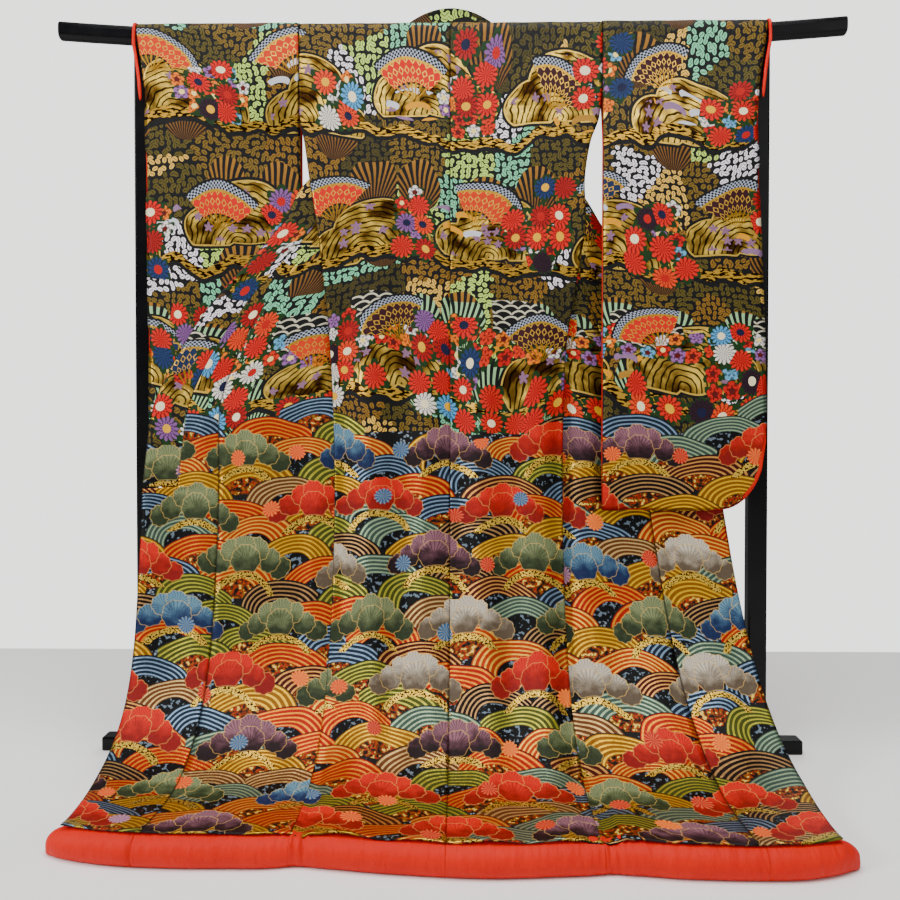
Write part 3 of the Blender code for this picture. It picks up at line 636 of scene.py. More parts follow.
def flower_heads(add, place, size, count, seed, dyes, hearts, share, level):
    """Flower heads that stand in clusters, and in a strip at one level, with green leaves between them."""
    flower, middle, chance = rosettes(add, place, size, randomness=0.5)
    cluster = cells(add, middle, SCENE_CELL, stagger=SCENE_STAGGER, jitter=0.34, seed=seed)[0]
    there = add(LESS, length_from(add, cluster, (0.12, 0.02), share), 1.0)
    strip = add("Math COMPARE", add("SeparateXYZ", middle, out=1), level, 0.030)
    there = add("Math MAXIMUM", there, strip)
    reach = length_from(add, flower)
    wave = petals(add, flower, count)
    outer = add(MORE, reach, 0.28 * size)
    grooves = [both(add, add(LESS, wave, -0.35), outer),
               both(add, add(LESS, petals(add, flower, count, 2.6), -0.35),
                    add(LESS, reach, 0.28 * size))]
    leaf_edge = add(TIMES_PLUS, petals(add, flower, 6), 0.12 * size, 0.56 * size)
    yield both(add, add(LESS, reach, leaf_edge), there), "3d6a2c", FLOSS
    edge = add(TIMES_PLUS, wave, 0.045 * size, 0.445 * size)
    head = both(add, add(LESS, reach, edge), there)
    yield head, add("ValToRGB", chance[0], stops=dyes), FLOSS
    yield both(add, head, add("Math MAXIMUM", *grooves), 0.5), "230806", FLOSS
    heart = both(add, add(LESS, reach, 0.17 * size), head, add(MORE, chance[2], 0.3))
    yield heart, add("ValToRGB", chance[1], stops=hearts), FLOSS


print("dyes", len(WARM), "and", len(MIXED))

# %% [markdown]
# A folding fan is easy to draw in polar places: its leaf lies between two radii, its ribs are stripes of
# the angle, and lozenges and checks repeat along both.

# %% Fans
FAN_SPREAD = 0.90  # radians to each side
FAN_LEAF = (0.043, 0.103)  # radii of its paper
FAN_BORDER = 0.088


def fans(add, place):
    """Open folding fans with a checked border, a body of one colour with golden lozenges, and dark ribs."""
    inside, chance, _ = cells(add, place, SCENE_CELL, stagger=SCENE_STAGGER, jitter=0.22, seed=23)
    fan = turned(add, add("VectorMath SUBTRACT", inside, (-0.045, 0.06, 0.0)), chance[0], most=0.6)
    fan = add("VectorMath ADD", fan, (0.0, 0.060, 0.0))
    angle = add("Math ARCTAN2", *add("SeparateXYZ", fan, out=(0, 1)))
    reach = length_from(add, fan)
    spread = add(LESS, add("Math ABSOLUTE", angle), FAN_SPREAD)
    leaf = both(add, spread, add(MORE, reach, FAN_LEAF[0]), add(LESS, reach, FAN_LEAF[1]))
    ribs = add(MORE, add("Math COSINE", add(TIMES, angle, 24.4)), 0.35)
    ribs = both(add, spread, add(LESS, reach, FAN_LEAF[0] + 0.002), add(MORE, reach, 0.005), ribs)
    body = add("ValToRGB", chance[2], stops=((0.0, "e0440c"), (0.45, "3e5c80"), (0.66, "6a2c44"),
                                             (0.84, "df6a14")))
    grid = add("CombineXYZ", add(TIMES, angle, 5.0), add(TIMES, reach, 52.0))
    grid = add("VectorMath SUBTRACT", add("VectorMath FRACTION", grid), (0.5, 0.5, 0.0))
    grid = add("VectorMath ABSOLUTE", grid)
    lozenge = add("Math COMPARE", add("Math ADD", *add("SeparateXYZ", grid, out=(0, 1))), 0.36, 0.085)
    checks = [add(MORE, add("Math SINE", add(TIMES, way, turns)), 0.0)
              for way, turns in ((angle, 70.0), (reach, 780.0))]
    rim = [add(LESS, reach, FAN_LEAF[1] + 0.004), add(MORE, reach, FAN_LEAF[0] - 0.004)]
    yield both(add, spread, *rim), "0e0c10", FLOSS
    yield ribs, "caa850", GILT
    yield leaf, body, FLOSS
    yield both(add, leaf, lozenge, add(LESS, reach, FAN_BORDER - 0.002)), "e8cb78", GILT
    border = both(add, leaf, add(MORE, reach, FAN_BORDER))
    yield border, "10131f", FLOSS
    yield both(add, border, add("Math COMPARE", *checks, 0.5)), "c3c8d2", FLOSS
    yield both(add, leaf, add("Math COMPARE", reach, FAN_BORDER - 0.001, 0.0022)), "d9bd66", GILT


print("fans", round(2 * FAN_LEAF[1] * math.sin(FAN_SPREAD), 3), "m wide")

# %% [markdown]
# Waves drawn as stacks of arcs are a motif that any weaver used.  Two rows of waves are drawn at every
# point, its own and the one below, and the lower lies on top.  Between them the water is dark, with drops
# of foam.

# %% Water and waves
WAVE_TOP = 0.845  # drop at which the waves begin
WAVE_CELL = (0.180, 0.043)
WAVE = (0.108, 0.078)  # half width and height of the largest arc
STRIPE_TURNS = 62.0  # radians of the wave that draws the stripes, so that an arc has nine or ten
CORE = 0.49  # share of an arc that its core fills


def foam(add, place):
    """The dark water between the waves, with white drops."""
    drops = add("TexVoronoi", place, None, 120.0, voronoi_dimensions="2D")
    there = add(LESS, add("SeparateXYZ", place, out=1), -WAVE_TOP - 0.02)
    yield there, "0d0f16", FLOSS
    near = add(MORE, add("TexNoise", place, None, 30.0, 1.0), 0.48)
    yield both(add, there, near, add(LESS, drops, 0.30)), "a9b2ba", FLOSS


def waves(add, place, row_below):
    """One row of waves, each a stack of striped arcs round a mottled core."""
    inside, chance, row = cells(
        add, place, WAVE_CELL, stagger=0.385, jitter=0.32, seed=3, row_below=row_below,
    )
    arc = add("VectorMath ADD", inside, (0.0, 0.5 * WAVE_CELL[1], 0.0))
    arc = turned(add, arc, chance[0], most=0.42)
    reach = length_from(add, arc, stretch=WAVE)
    reach = add(TIMES, reach, add(TIMES_PLUS, chance[1], 0.20, 0.92))
    stripe = add(MORE, add("Math SINE", add(TIMES, reach, STRIPE_TURNS)), 0.35)
    dark = add("ValToRGB", chance[2], stops=(
        (0.0, "c4480a"), (0.16, "46586a"), (0.28, "48241c"), (0.38, "7c8048"), (0.50, "b08a1c"),
        (0.66, "72857c"), (0.76, "c86a14"), (0.88, "96704a"), (0.94, "7a3a28")))
    pale = add("ValToRGB", chance[2], stops=(
        (0.0, "eab450"), (0.16, "aabccc"), (0.28, "ccb088"), (0.38, "ccc870"), (0.50, "eacc50"),
        (0.66, "bccab2"), (0.76, "eecc74"), (0.88, "dec89c"), (0.94, "deb880")))
    fleck = add("MapRange", add("TexNoise", place, None, 110.0, 2.0), 0.3, 0.7, 0.0, 1.0)
    gold_core = add("ValToRGB", fleck, stops=(
        (0.0, "3d3014"), (0.30, "8a6418"), (0.48, "c8480a"), (0.60, "a68e30"), (0.76, "f0d88a")))
    dark_core = add("ValToRGB", fleck, stops=((0.0, "0b0d14"), (0.70, "98a4ae")))
    core = add("MixRGB", add(MORE, chance[1], 0.58), gold_core, dark_core)
    line = add(LESS, add(TIMES_PLUS, chance[0], 1.6, row), -WAVE_TOP / WAVE_CELL[1])
    there = both(add, line, add(LESS, reach, 1.0))
    yield there, "1c120c", FLOSS
    there = both(add, there, add(LESS, reach, 0.98))
    yield there, dark, 0.5
    yield both(add, there, stripe), pale, 0.9
    yield both(add, there, add(LESS, reach, CORE)), core, 0.4


print("waves from", round(WAVE_TOP, 3), "m down, rows", WAVE_CELL[1], "m apart")

# %% [markdown]
# Pines are seen from far off as flat scalloped clumps.  A clump is mirrored about its middle, so its lobes
# are written for one half only.  The lobe that lies on top is found one after another, and each brings its
# own fan of needles.

# %% Pines
PINE_CELL = (0.236, 0.120)
PINE_LOBES = (((0.074, -0.016), 0.022), ((0.050, 0.000), 0.024), ((0.026, 0.022), 0.023),
              ((0.000, 0.032), 0.022), ((0.000, 0.002), 0.030))  # middle, radius
PINE_ARCH = 0.076  # radius of the arched foot, whose middle lies below the clump
LACE = (0.062, 0.075)  # radii of the golden lace under it


def pines(add, place):
    """Scalloped pine clumps: lobes over an arched foot, each with its fan of needles."""
    inside, chance, row = cells(add, place, PINE_CELL, stagger=0.44, jitter=0.22, seed=11)
    x, y = add("SeparateXYZ", inside, out=(0, 1))
    half = add("CombineXYZ", add("Math ABSOLUTE", x), y)
    edge, hub = 1.0, inside
    for centre, size in PINE_LOBES:
        moved = add("VectorMath SUBTRACT", half, (*centre, 0.0))
        scallop = add(TIMES_PLUS, petals(add, moved, 9), 0.0010, -size)
        lobe = add("Math ADD", length_from(add, moved), scallop)
        inner = add(LESS, lobe, 0.0)
        edge = add(TIMES_PLUS, inner, add("Math SUBTRACT", lobe, edge), edge)
        step = add("VectorMath SCALE", add("VectorMath SUBTRACT", moved, hub), None, None, inner)
        hub = add("VectorMath ADD", hub, step)
    needles = petals(add, add("VectorMath ADD", hub, (0.0, 0.006, 0.0)), 24)
    arch = length_from(add, half, (0.0, -0.098))
    edge = add("Math MAXIMUM", edge, add("Math SUBTRACT", PINE_ARCH, arch))
    light = add("ValToRGB", chance[2], stops=(
        (0.0, "e4500e"), (0.27, "a9b090"), (0.48, "b4929c"), (0.64, "dcd6ca"), (0.80, "96b4c0")))
    deep = add("ValToRGB", chance[2], stops=(
        (0.0, "ae3004"), (0.27, "5c684a"), (0.48, "4c2434"), (0.64, "8e8272"), (0.80, "36547e")))
    shade = add(TIMES_PLUS, y, 15.0, add("TexNoise", place, None, 45.0, 2.0))
    colour = add("MixRGB", add(TIMES_PLUS, shade, 1.6, -0.45, use_clamp=True), deep, light)
    level = add(LESS, add(TIMES_PLUS, row, PINE_CELL[1], WAVE_TOP), -0.10)
    there = both(add, level, add(MORE, chance[0], 0.06))
    clump = both(add, there, add(LESS, edge, 0.0))
    lace = both(add, there, add(LESS, arch, LACE[1]), add(MORE, arch, LACE[0]), add(MORE, y, -0.070))
    hatch = add(MORE, add("TexNoise", place, None, 260.0, 1.0), 0.47)
    yield lace, add("MixRGB", hatch, "6b4c14", "ead27e"), GILT
    yield clump, colour, FLOSS
    yield both(add, clump, add(MORE, needles, 0.45), 0.36), deep, FLOSS
    yield both(add, clump, add(MORE, edge, -0.0016), 0.50), "f0d494", FLOSS


print("pine clumps", round(2 * (PINE_LOBES[0][0][0] + PINE_LOBES[0][1]), 3), "m wide")

# %% [markdown]
# Small blossoms are strewn over waves and pines alike, which ties the lower part together.

# %% Small blossoms
BLOSSOM, BLOSSOM_NOTCH = 0.0165, 0.0016  # radius, and how far its petals stand out


def small_blossoms(add, place):
    """Little many-petalled blossoms strewn over waves and pines."""
    inside, chance, _ = cells(add, place, (0.155, 0.120), stagger=0.5, jitter=0.5, seed=17)
    wave = petals(add, inside, 13)
    edge = add(TIMES_PLUS, wave, BLOSSOM_NOTCH, BLOSSOM)
    colour = add("ValToRGB", chance[2], stops=((0.0, "e6781a"), (0.30, "d23a0e"), (0.62, "b893b2"),
                                               (0.76, "5c8fb4"), (0.88, "f0921e")))
    mask = both(add, add(LESS, length_from(add, inside), edge),
                add(MORE, chance[0], 0.40),
                add(LESS, add("SeparateXYZ", place, out=1), -WAVE_TOP - 0.03))
    yield mask, colour, FLOSS
    yield both(add, mask, add(MORE, wave, 0.3), 0.35), "fae0b0", FLOSS


print("small blossoms", round(2 * BLOSSOM, 3), "m wide")

# %% [markdown]
# Weaving lays one motif over another, so the shader starts from the black ground and mixes the layers over
# it one by one.  Before that every place is moved a little by a slow noise, because a drawing by hand is
# never quite regular.  The gilt share sets metal and roughness: gilt paper thread is metal worn a little
# dull, floss is matt.  Real picks lie about 0.5 mm apart, finer than any view of the whole can show, so
# the rib of the weave is drawn at 2.5 mm, and slubs of the thread at 1.5 mm.

# %% The brocade
PICK = 0.0025
UPPER = (  # flower heads: size, petals, seed, dyes, hearts, reach of a cluster, level of the strip
    (leaf_sprays,), (grasses,), (knolls,), (banks,), (ferns,), (small_clouds,),
    (flower_heads, 0.034, 5, 41, MIXED, MIXED_HEARTS, (0.090, 0.060), -0.69),
    (fans,),
    (flower_heads, 0.052, 14, 7, WARM, WARM_HEARTS, (0.112, 0.082), -0.80),
)
LOWER = ((foam,), (waves, 0), (waves, 1), (pines,), (small_blossoms,))
DRIFT = (0.050, 0.038, 0.0)  # range of the slow noise that moves every place, across and down
RISE = 0.17  # range by which the groups of the upper part rise and sink across the cloth


def brocade(name, upper=(), lower=()):
    """Motifs over a black ground, with the gloss of their thread, the ribs of the weave and painted seam
    shade.
    """
    finish, add = material(name)
    flat = add("UVMap", uv_map="cloth")
    drift = add("SeparateColor", add("TexNoise", flat, None, 5.0, 2.0, out=1), out=(0, 1))
    place = add("VectorMath MULTIPLY_ADD", add("CombineXYZ", *drift), DRIFT, flat)
    rise = add(TIMES_PLUS, add("TexNoise", flat, None, 2.2, 1.0), RISE, -RISE / 2)
    raised = add("VectorMath ADD", place, add("CombineXYZ", None, rise))
    colour, gilt = linear("14110f"), 0.0
    for motifs, spot in ((upper, raised), (lower, place)):
        for motif, *details in motifs:
            for mask, own_colour, own_gilt in motif(add, spot, *details):
                colour = add("MixRGB", mask, colour, own_colour)
                if own_gilt or isinstance(gilt, bpy.types.NodeSocket):
                    gilt = add(TIMES, gilt, add("Math SUBTRACT", 1.0, mask))
                if own_gilt:
                    gilt = add(TIMES_PLUS, mask, own_gilt, gilt)
    slub = add("TexNoise", add("VectorMath MULTIPLY", flat, (1.0, 0.12, 1.0)), None, 650.0, 2.0)
    colour = add("Gamma", colour, add(TIMES_PLUS, slub, -0.7, 2.22))
    # Painted shade: the colour darkens along every edge of a panel, where a seam draws the cloth into a
    # valley.
    seam_shade = add(LESS, add("Attribute", out=2, attribute_name="inside"), 0.18)
    colour = add("MixRGB", both(add, seam_shade, 0.62), colour, "0c0806")
    across_picks = add("SeparateXYZ", flat, out=1)
    rib = add("Math SINE", add(TIMES, across_picks, 2 * math.pi / PICK))
    worn = add("TexNoise", flat, None, 150.0, 2.0)
    relief = add(TIMES_PLUS, worn, 1.6, add(TIMES_PLUS, rib, 0.20, slub))
    return set_shader(finish, {
        "Base Color": colour,
        "Normal": add("Bump", 0.50, 0.0011, None, relief),
        "Metallic": add(TIMES, gilt, 0.85),
        "Roughness": add(TIMES_PLUS, gilt, -0.26, 0.56),
        "Specular IOR Level": 0.20,
    })


print("motifs", len(UPPER), "above and", len(LOWER), "below")

# %% [markdown]
# The same function makes three finishes: the upper motifs, both for the strip where they meet, and the
# lower motifs.  A renderer works through every node of a shader at every point, so faces that carry only
# one half of the design are spared the other half.

# %% Three lengths of the brocade
HILLS_END, WAVES_BEGIN = -0.76, -0.92  # heights in the design, between which both halves show
BROCADES = [
    brocade("brocade_gilt_and_floss_hills", UPPER),
    brocade("brocade_gilt_and_floss_shore", UPPER, LOWER),
    brocade("brocade_gilt_and_floss_waves", lower=LOWER),
]

# %% [markdown]
# The lining is plain-woven silk dyed vermilion.  Silk scatters light softly along its threads, so it is
# set rather rough with little mirror gloss.  Its threads, 0.1 mm in truth, are drawn at about a
# millimetre.  Wadding under it gives soft creases one to six centimetres long.

# %% Silk lining
def silk_lining():
    finish, add = material("silk_vermilion_plain_weave")
    place = add("TexCoord", out=3)
    cloud = add("TexNoise", place, None, 9.0, 3.0)
    threads = add("TexNoise", add("VectorMath MULTIPLY", place, (900.0, 260.0, 260.0)), None, 1.0, 2.0)
    creases = add("TexNoise", add("VectorMath MULTIPLY", place, (70.0, 16.0, 22.0)), None, 1.0, 2.0)
    relief = add(TIMES_PLUS, threads, 0.10, creases)
    return set_shader(finish, {
        "Base Color": add("MixRGB", cloud, "bc1000", "da1c00"),
        "Normal": add("Bump", 0.60, 0.0070, None, relief),
        "Roughness": 0.55,
        "Specular IOR Level": 0.15,
    })


LINING = silk_lining()

# %% [markdown]
# Lacquer is the opposite of silk: many thin coats over wood, ground smooth and polished, black with a
# clear skin on top.  The polish is never quite even, so its roughness drifts over a few centimetres, and
# brush marks about six millimetres wide stay in it.  The floor is covered with matt white paper, of
# faintly uneven tone.

# %% Lacquer and paper
def black_lacquer():
    finish, add = material("urushi_lacquer_black_polished")
    place = add("TexCoord", out=3)
    polish = add("TexNoise", place, None, 14.0, 3.0)
    return set_shader(finish, {
        "Roughness": add("MapRange", polish, 0.3, 0.7, 0.22, 0.34),
        "Normal": add("Bump", 0.04, 0.001, None, add("TexNoise", place, None, 160.0, 2.0)),
        "Base Color": linear("030305"),
        "Specular IOR Level": 0.16,
    })


def matt_paper():
    finish, add = material("backdrop_paper_matt")
    cloud = add("TexNoise", add("TexCoord", out=3), None, 1.5, 2.0)
    return set_shader(finish, {"Base Color": add("MixRGB", cloud, "f8f7f5", "fbfaf8"), "Roughness": 0.9})


LACQUER = black_lacquer()
PAPER = matt_paper()

# %% [markdown]
# Every new piece is first a bmesh and then an object.  The object stays at the origin and all of its place
# is in its mesh, as with the solids of the frame.  A piece rides on the one body of the part and stands
# for the solid that it replaces.

# %% Making an object
def object_of(name, grid, finishes):
    """Turn a bmesh into an object with its finishes, whose place is all in its mesh."""
    mesh = bpy.data.meshes.new(name)
    grid.to_mesh(mesh)
    grid.free()
    for finish in finishes:
        mesh.materials.append(finish)
    item = bpy.data.objects.new(name, mesh)
    bpy.context.scene.collection.objects.link(item)
    print(name, len(mesh.polygons), "faces")
    return item


def keep_piece(name, grid, finishes, node):
    """Make an object that rides on the part and stands for its node of the frame."""
    piece = object_of(name, grid, finishes)
    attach(piece, "root")
    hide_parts(node)
    return piece


# %% [markdown]
# A cloth panel is woven flat and then hung.  So it is made as a flat grid whose columns and rows are cloth
# widths and drops, and each point is then moved to its place on the hanging surface.  The flat widths and
# drops are kept as the panel's own UV map, in metres, and the woven design reads that map: it bends with
# the cloth and is cut off at the seams, as on the real one.  A Solidify modifier gives the lining its
# place behind.

# %% Building a panel
PUCKER = 0.0009  # height of the fine unevenness that wadding and gold thread give the surface
PUCKER_SIZE = 0.060  # its usual width
SEAM_DIP = 0.0006  # how far sewing draws an edge in


def pucker(across, drop, offset):
    """Fine unevenness of the quilted cloth: a little larger waves and a little finer ones."""
    place = Vector((across / PUCKER_SIZE, 0.45 * drop / PUCKER_SIZE, offset))
    return PUCKER * (noise.noise(place) + 0.45 * noise.noise(3.1 * place))


def finish_cloth(name, grid, cloth_place, node, side, design_shift, wall_side=-1.0):
    """Turn a placed grid into a lined cloth: faces outward, puckers, a UV map and a red inner side."""
    if side > 0:
        bmesh.ops.reverse_faces(grid, faces=grid.faces)
    grid.normal_update()
    grid.verts.index_update()
    places = [cloth_place[vert] for vert in grid.verts]
    inside = grid.verts.layers.float.new("inside")
    for vert, (across, drop) in zip(grid.verts, places):
        vert[inside] = float(all(len(edge.link_faces) == 2 for edge in vert.link_edges))
        uneven = pucker(across, drop, design_shift[0] * 40) if vert[inside] else -SEAM_DIP
        vert.co += vert.normal * uneven
        vert.co.y += MIDDLE_Y
    design = grid.loops.layers.uv.new("cloth")
    for face in grid.faces:
        face.smooth = True
        for loop in face.loops:
            across, drop = places[loop.vert.index]
            loop[design].uv = (across + design_shift[0], -drop + design_shift[1])
        levels = [loop[design].uv.y for loop in face.loops]
        face.material_index = (min(levels) <= HILLS_END) + (max(levels) < WAVES_BEGIN)
    piece = keep_piece(name, grid, (*BROCADES, LINING), node)
    wall = piece.modifiers.new("Lining", "SOLIDIFY")
    wall.thickness = WALL - SEAM
    wall.offset = wall_side
    wall.material_offset = len(BROCADES)
    return piece


def panel(name, node, columns, rows, locate, surface, side, design_shift, across_sign=1):
    """A panel: locate(column, row) gives the cloth's own width and drop, and surface its place."""
    grid = bmesh.new()
    across, down = len(columns) - 1, len(rows) - 1
    bmesh.ops.create_grid(grid, x_segments=across, y_segments=down, size=0.5)
    cloth_place = {}
    for vert in grid.verts:
        column = columns[round((vert.co.x + 0.5) * across)]
        row = rows[round((vert.co.y + 0.5) * down)]
        a, b = locate(column, row)
        vert.co = surface(a, b)
        cloth_place[vert] = (across_sign * a, b)
    return finish_cloth(name, grid, cloth_place, node, side, design_shift)


print("wall of the cloth", 1000 * WALL, "mm")

# %% [markdown]
# The rows are closest where the cloth bends most: over the rod, and where the fold of the fronts crosses
# the collar.  Between those rows more are laid, none further than 7.5 mm from the next.  The columns of a
# front gather round its fold, so that the turn stays round.

# %% Rows and columns
def spaced(start, end, count):
    return [start + (end - start) * i / count for i in range(count + 1)]


def finer(rows, gap):
    """The same rows with enough more between them that none lies further than gap from the next."""
    result = [rows[0]]
    for a, b in zip(rows, rows[1:]):
        result += spaced(a, b, max(1, math.ceil((b - a) / gap)))[1:]
    return result


def fold_columns(inner, outer, tuck, counts):
    """Columns of a piece between two widths: some before the turn, some round it and some after it."""
    after = min(max(tuck + TURN, inner + 0.010), outer - 0.012)
    before = min(max(tuck, inner + 0.004), after - min(TURN, 0.5 * (after - inner)))
    stops = (inner, before, after, outer)
    columns = [inner]
    for start, end, count in zip(stops, stops[1:], counts):
        columns += spaced(start, end, count)[1:]
    return columns


CLOTH_GAP = 0.0075
ROD_ROWS = spaced(0.0, SHOULDER_RUN, 4)
HIGH_ROWS = [0.036, 0.07, 0.12, 0.17, 0.22, 0.226, 0.232, 0.238, 0.245, 0.252, 0.26, 0.27, 0.285, 0.305]
print("rows from shoulder to hem", len(finer(ROD_ROWS + [HEM_LENGTH], CLOTH_GAP)))

# %% [markdown]
# The back is two widths of brocade with a seam down the middle.  Each half is one panel from the shoulder
# line to the hem.  The design is laid out over both halves together, so that it meets at the centre seam,
# with the small break that sewing always leaves.

# %% The back
BACK_COLUMNS = 42


def back(hand, side):
    def locate(across, drop):
        seam = seam_and_tuck(hand, drop)[0]
        return side * (across * (seam + 3 * SEAM) - SEAM), drop + SEAM / 2

    def surface(x, drop):
        return hang(x, drop, soft_folds(x, drop))

    rows = finer(ROD_ROWS + [HEM_LENGTH - SEAM], CLOTH_GAP)
    piece = panel(f"brocade_back_{hand}", f"back_{hand}", spaced(0.0, 1.0, BACK_COLUMNS), rows, locate,
                  surface, side, (0.002 * side, 0.003 * side))


print("each back panel", BACK_HALF, "x", HEM_LENGTH, "m")

# %% [markdown]
# Each front is a panel, a narrower overlap panel beside it and a collar band along its edge.  All three
# are cut from the same hanging surface, and each has the design shifted a little, as pieces cut from one
# length of cloth never match quite.

# %% The fronts
FRONT_COLUMNS = (16, 10, 18)  # before the turn, round it and after it


def front(hand, side):
    def locate(column, drop):
        tuck = seam_and_tuck(hand, drop)[1]
        return fold_columns(0.0, front_panel_width(drop) + JOIN, tuck, FRONT_COLUMNS)[column], drop

    rows = finer(ROD_ROWS[1:] + HIGH_ROWS + [HEM_LENGTH - SEAM], CLOTH_GAP)
    piece = panel(f"brocade_front_{hand}", f"front_{hand}", range(sum(FRONT_COLUMNS) + 1), rows, locate,
                  open_front(hand, side), side, (side * BACK_HALF, 0.006), side)


print("each front panel", round(front_panel_width(HEM_LENGTH), 3), "m wide at the hem")

# %% [markdown]
# The overlap panel, or okumi, is cut to a point at the top, where the collar covers most of it.  Rows are
# set close at the end of the collar, where its free edge steps out by the collar's width, and its bottom
# corner is drawn in over the hem roll.

# %% The overlap panels
OKUMI_COLUMNS = 22
COLLAR_STEP = 0.004  # between the rows at the end of the collar
HEM_CORNER = 0.018
OKUMI_SHOWS = 0.56  # share of its tapered part that the collar leaves free


def okumi(hand, side):
    rows = [row for row in HIGH_ROWS if row >= OKUMI_TOP] + [COLLAR_END]
    rows = finer(rows, CLOTH_GAP) + [COLLAR_END + COLLAR_STEP]
    rows += finer([COLLAR_END + 2 * COLLAR_STEP, HEM_LENGTH - SEAM], CLOTH_GAP)

    def locate(across, drop):
        inner = front_panel_width(drop)
        outer = front_total(drop)
        if drop <= COLLAR_END:
            outer -= COLLAR_WIDTH - JOIN
        outer -= HEM_CORNER * ease(drop, HEM_LENGTH - 0.20, HEM_LENGTH)
        return inner + across * (outer - inner), drop

    piece = panel(f"brocade_overlap_{hand}", f"okumi_{hand}", spaced(0.0, 1.0, OKUMI_COLUMNS), rows, locate,
                  open_front(hand, side), side, (side * (BACK_HALF + 0.004), -0.004), side)
    area = OKUMI_WIDTH * (HEM_LENGTH - COLLAR_END)
    area += 0.5 * (COLLAR_END - OKUMI_TOP) * OKUMI_WIDTH * OKUMI_SHOWS


print("each overlap", round(front_total(HEM_LENGTH) - front_panel_width(HEM_LENGTH), 3), "m wide at the hem")

# %% [markdown]
# The collar is one long strip folded in four.  Its sides run down the free edges of the fronts; the middle
# stands up behind the neck, leans back a little and is highest at the centre.

# %% The collar
COLLAR_COLUMNS = (3, 10, 6)
NAPE_COLUMNS, NAPE_ROWS = 48, 10
COLLAR_STAND = 0.031  # height of the nape in the middle
COLLAR_LOW = 0.004  # and at its ends
NAPE_LEAN = 0.006


def collar(hand, side):
    rows = finer([row for row in HIGH_ROWS if row < COLLAR_END] + [COLLAR_END - SEAM], CLOTH_GAP)

    def locate(column, drop):
        tuck = seam_and_tuck(hand, drop)[1]
        outer = front_total(drop)
        return fold_columns(outer - COLLAR_WIDTH, outer, tuck, COLLAR_COLUMNS)[column], drop

    piece = panel(f"brocade_collar_{hand}", f"collar_{hand}", range(sum(COLLAR_COLUMNS) + 1), rows, locate,
                  open_front(hand, side), side, (side * (BACK_HALF + 0.05), 0.05), side)


def nape():
    half = NECK_HALF - SEAM

    def locate(x, rise):
        return x, rise

    def surface(x, rise):
        arch = 1 - (x / half) ** 2
        up = rise / COLLAR_STAND
        height = (COLLAR_LOW + (COLLAR_STAND - COLLAR_LOW) * arch) * up
        return Vector((x, SEAM - NAPE_LEAN * arch * up * up, SHOULDER_TOP - WALL / 4 + height))

    piece = panel("brocade_collar_nape", "collar_nape", spaced(-half, half, NAPE_COLUMNS),
                  spaced(0.0, COLLAR_STAND, NAPE_ROWS), locate, surface, -1, (0.37, 0.05))


for hand, side in SIDES:
    for make in (back, front, okumi, collar):
        make(hand, side)
nape()

# %% [markdown]
# A sleeve is one width of cloth laid over the rod and sewn together below the opening for the hand.  Near
# and far layer hang a few millimetres apart, and lean forward or back on the way from the back panel to
# the post.  At the cuff the far layer stays clear of the post.

# %% How a sleeve hangs
SLEEVE_DROP = 1.062
SLEEVE_EDGE = {"left": 0.650, "right": 0.676}  # x of its outer edge once it has reached its lower width
SLEEVE_WIDENS = 0.90  # drop at which it has
SLEEVE_WAVE = 0.0025
CUFF_OPENING = 0.190
CUFF_EDGE, CUFF_FOOT_EDGE = 0.677, 0.655  # x of the outer edge at the top and the foot of the opening
CUFF_CLEAR = 0.036
SLIT_GAP = 0.0035
EDGE_FROM = 0.75  # share of the width from which a sleeve narrows to its outer edge


def sleeve_edge(drop, far, lower_edge):
    """Distance of a sleeve's outer edge from the centre; at the cuff the far layer clears the post."""
    edge = CUFF_EDGE + (CUFF_FOOT_EDGE - CUFF_EDGE) * ease(drop, 0.0, CUFF_OPENING)
    edge += (lower_edge - CUFF_FOOT_EDGE) * ease(drop, CUFF_OPENING, SLEEVE_WIDENS)
    if far:
        edge -= CUFF_CLEAR * ease(drop, 0.030, 0.095) * (1 - ease(drop, 0.165, CUFF_OPENING))
    return edge


def sleeve_point(hand, side, across, drop, far, closing):
    """A point of a sleeve's inner face; closing is 1 where the layers meet at the bottom."""
    near_y, edge_y, *gaps = SLEEVE_HANG[hand]
    inner = SLEEVE_INNER + SEAM
    x = inner + across * (sleeve_edge(drop, far, SLEEVE_EDGE[hand]) - inner)
    if drop < SHOULDER_RUN:
        angle = math.pi / 2 * drop / SHOULDER_RUN
        y = HANG_Y * math.sin(angle)
        fallen = SHOULDER_ROUND * (1 - math.cos(angle))
        return Vector((side * x, y if far else -y, SHOULDER_TOP - fallen))
    y = HANG_Y if far else -HANG_Y
    f = (x - SLEEVE_INNER) / (CUFF_FOOT_EDGE - SLEEVE_INNER)
    gap = gaps[far] * (1 - ease(across, EDGE_FROM, 1.0)) * (1 - closing)
    if drop <= CUFF_OPENING:
        gap = max(gap, SLIT_GAP)
    hung = near_y + (edge_y - near_y) * f + (gap if far else -gap)
    hung += SLEEVE_WAVE * math.sin(2 * math.pi * x / 0.30 + 1.3 * side) * (1 - across)
    settled = ease(drop, 0.10, 0.30)
    settled += (ease(drop, 0.085, 0.165) - settled) * ease(across, EDGE_FROM, 1.0)
    height = SHOULDER_TOP - SHOULDER_ROUND - (drop - SHOULDER_RUN)
    return Vector((side * x, y + (hung - y) * settled, height))


for hand, side in SIDES:
    print("outer edge of the", hand, "sleeve", round(sleeve_edge(SLEEVE_DROP, False, SLEEVE_EDGE[hand]), 3))

# %% [markdown]
# Both layers come from one grid whose middle row lies on the rod.  Its rows count up on the near side and
# down on the far side, the bottom rises to a large round corner, and the edges that are sewn are merged.

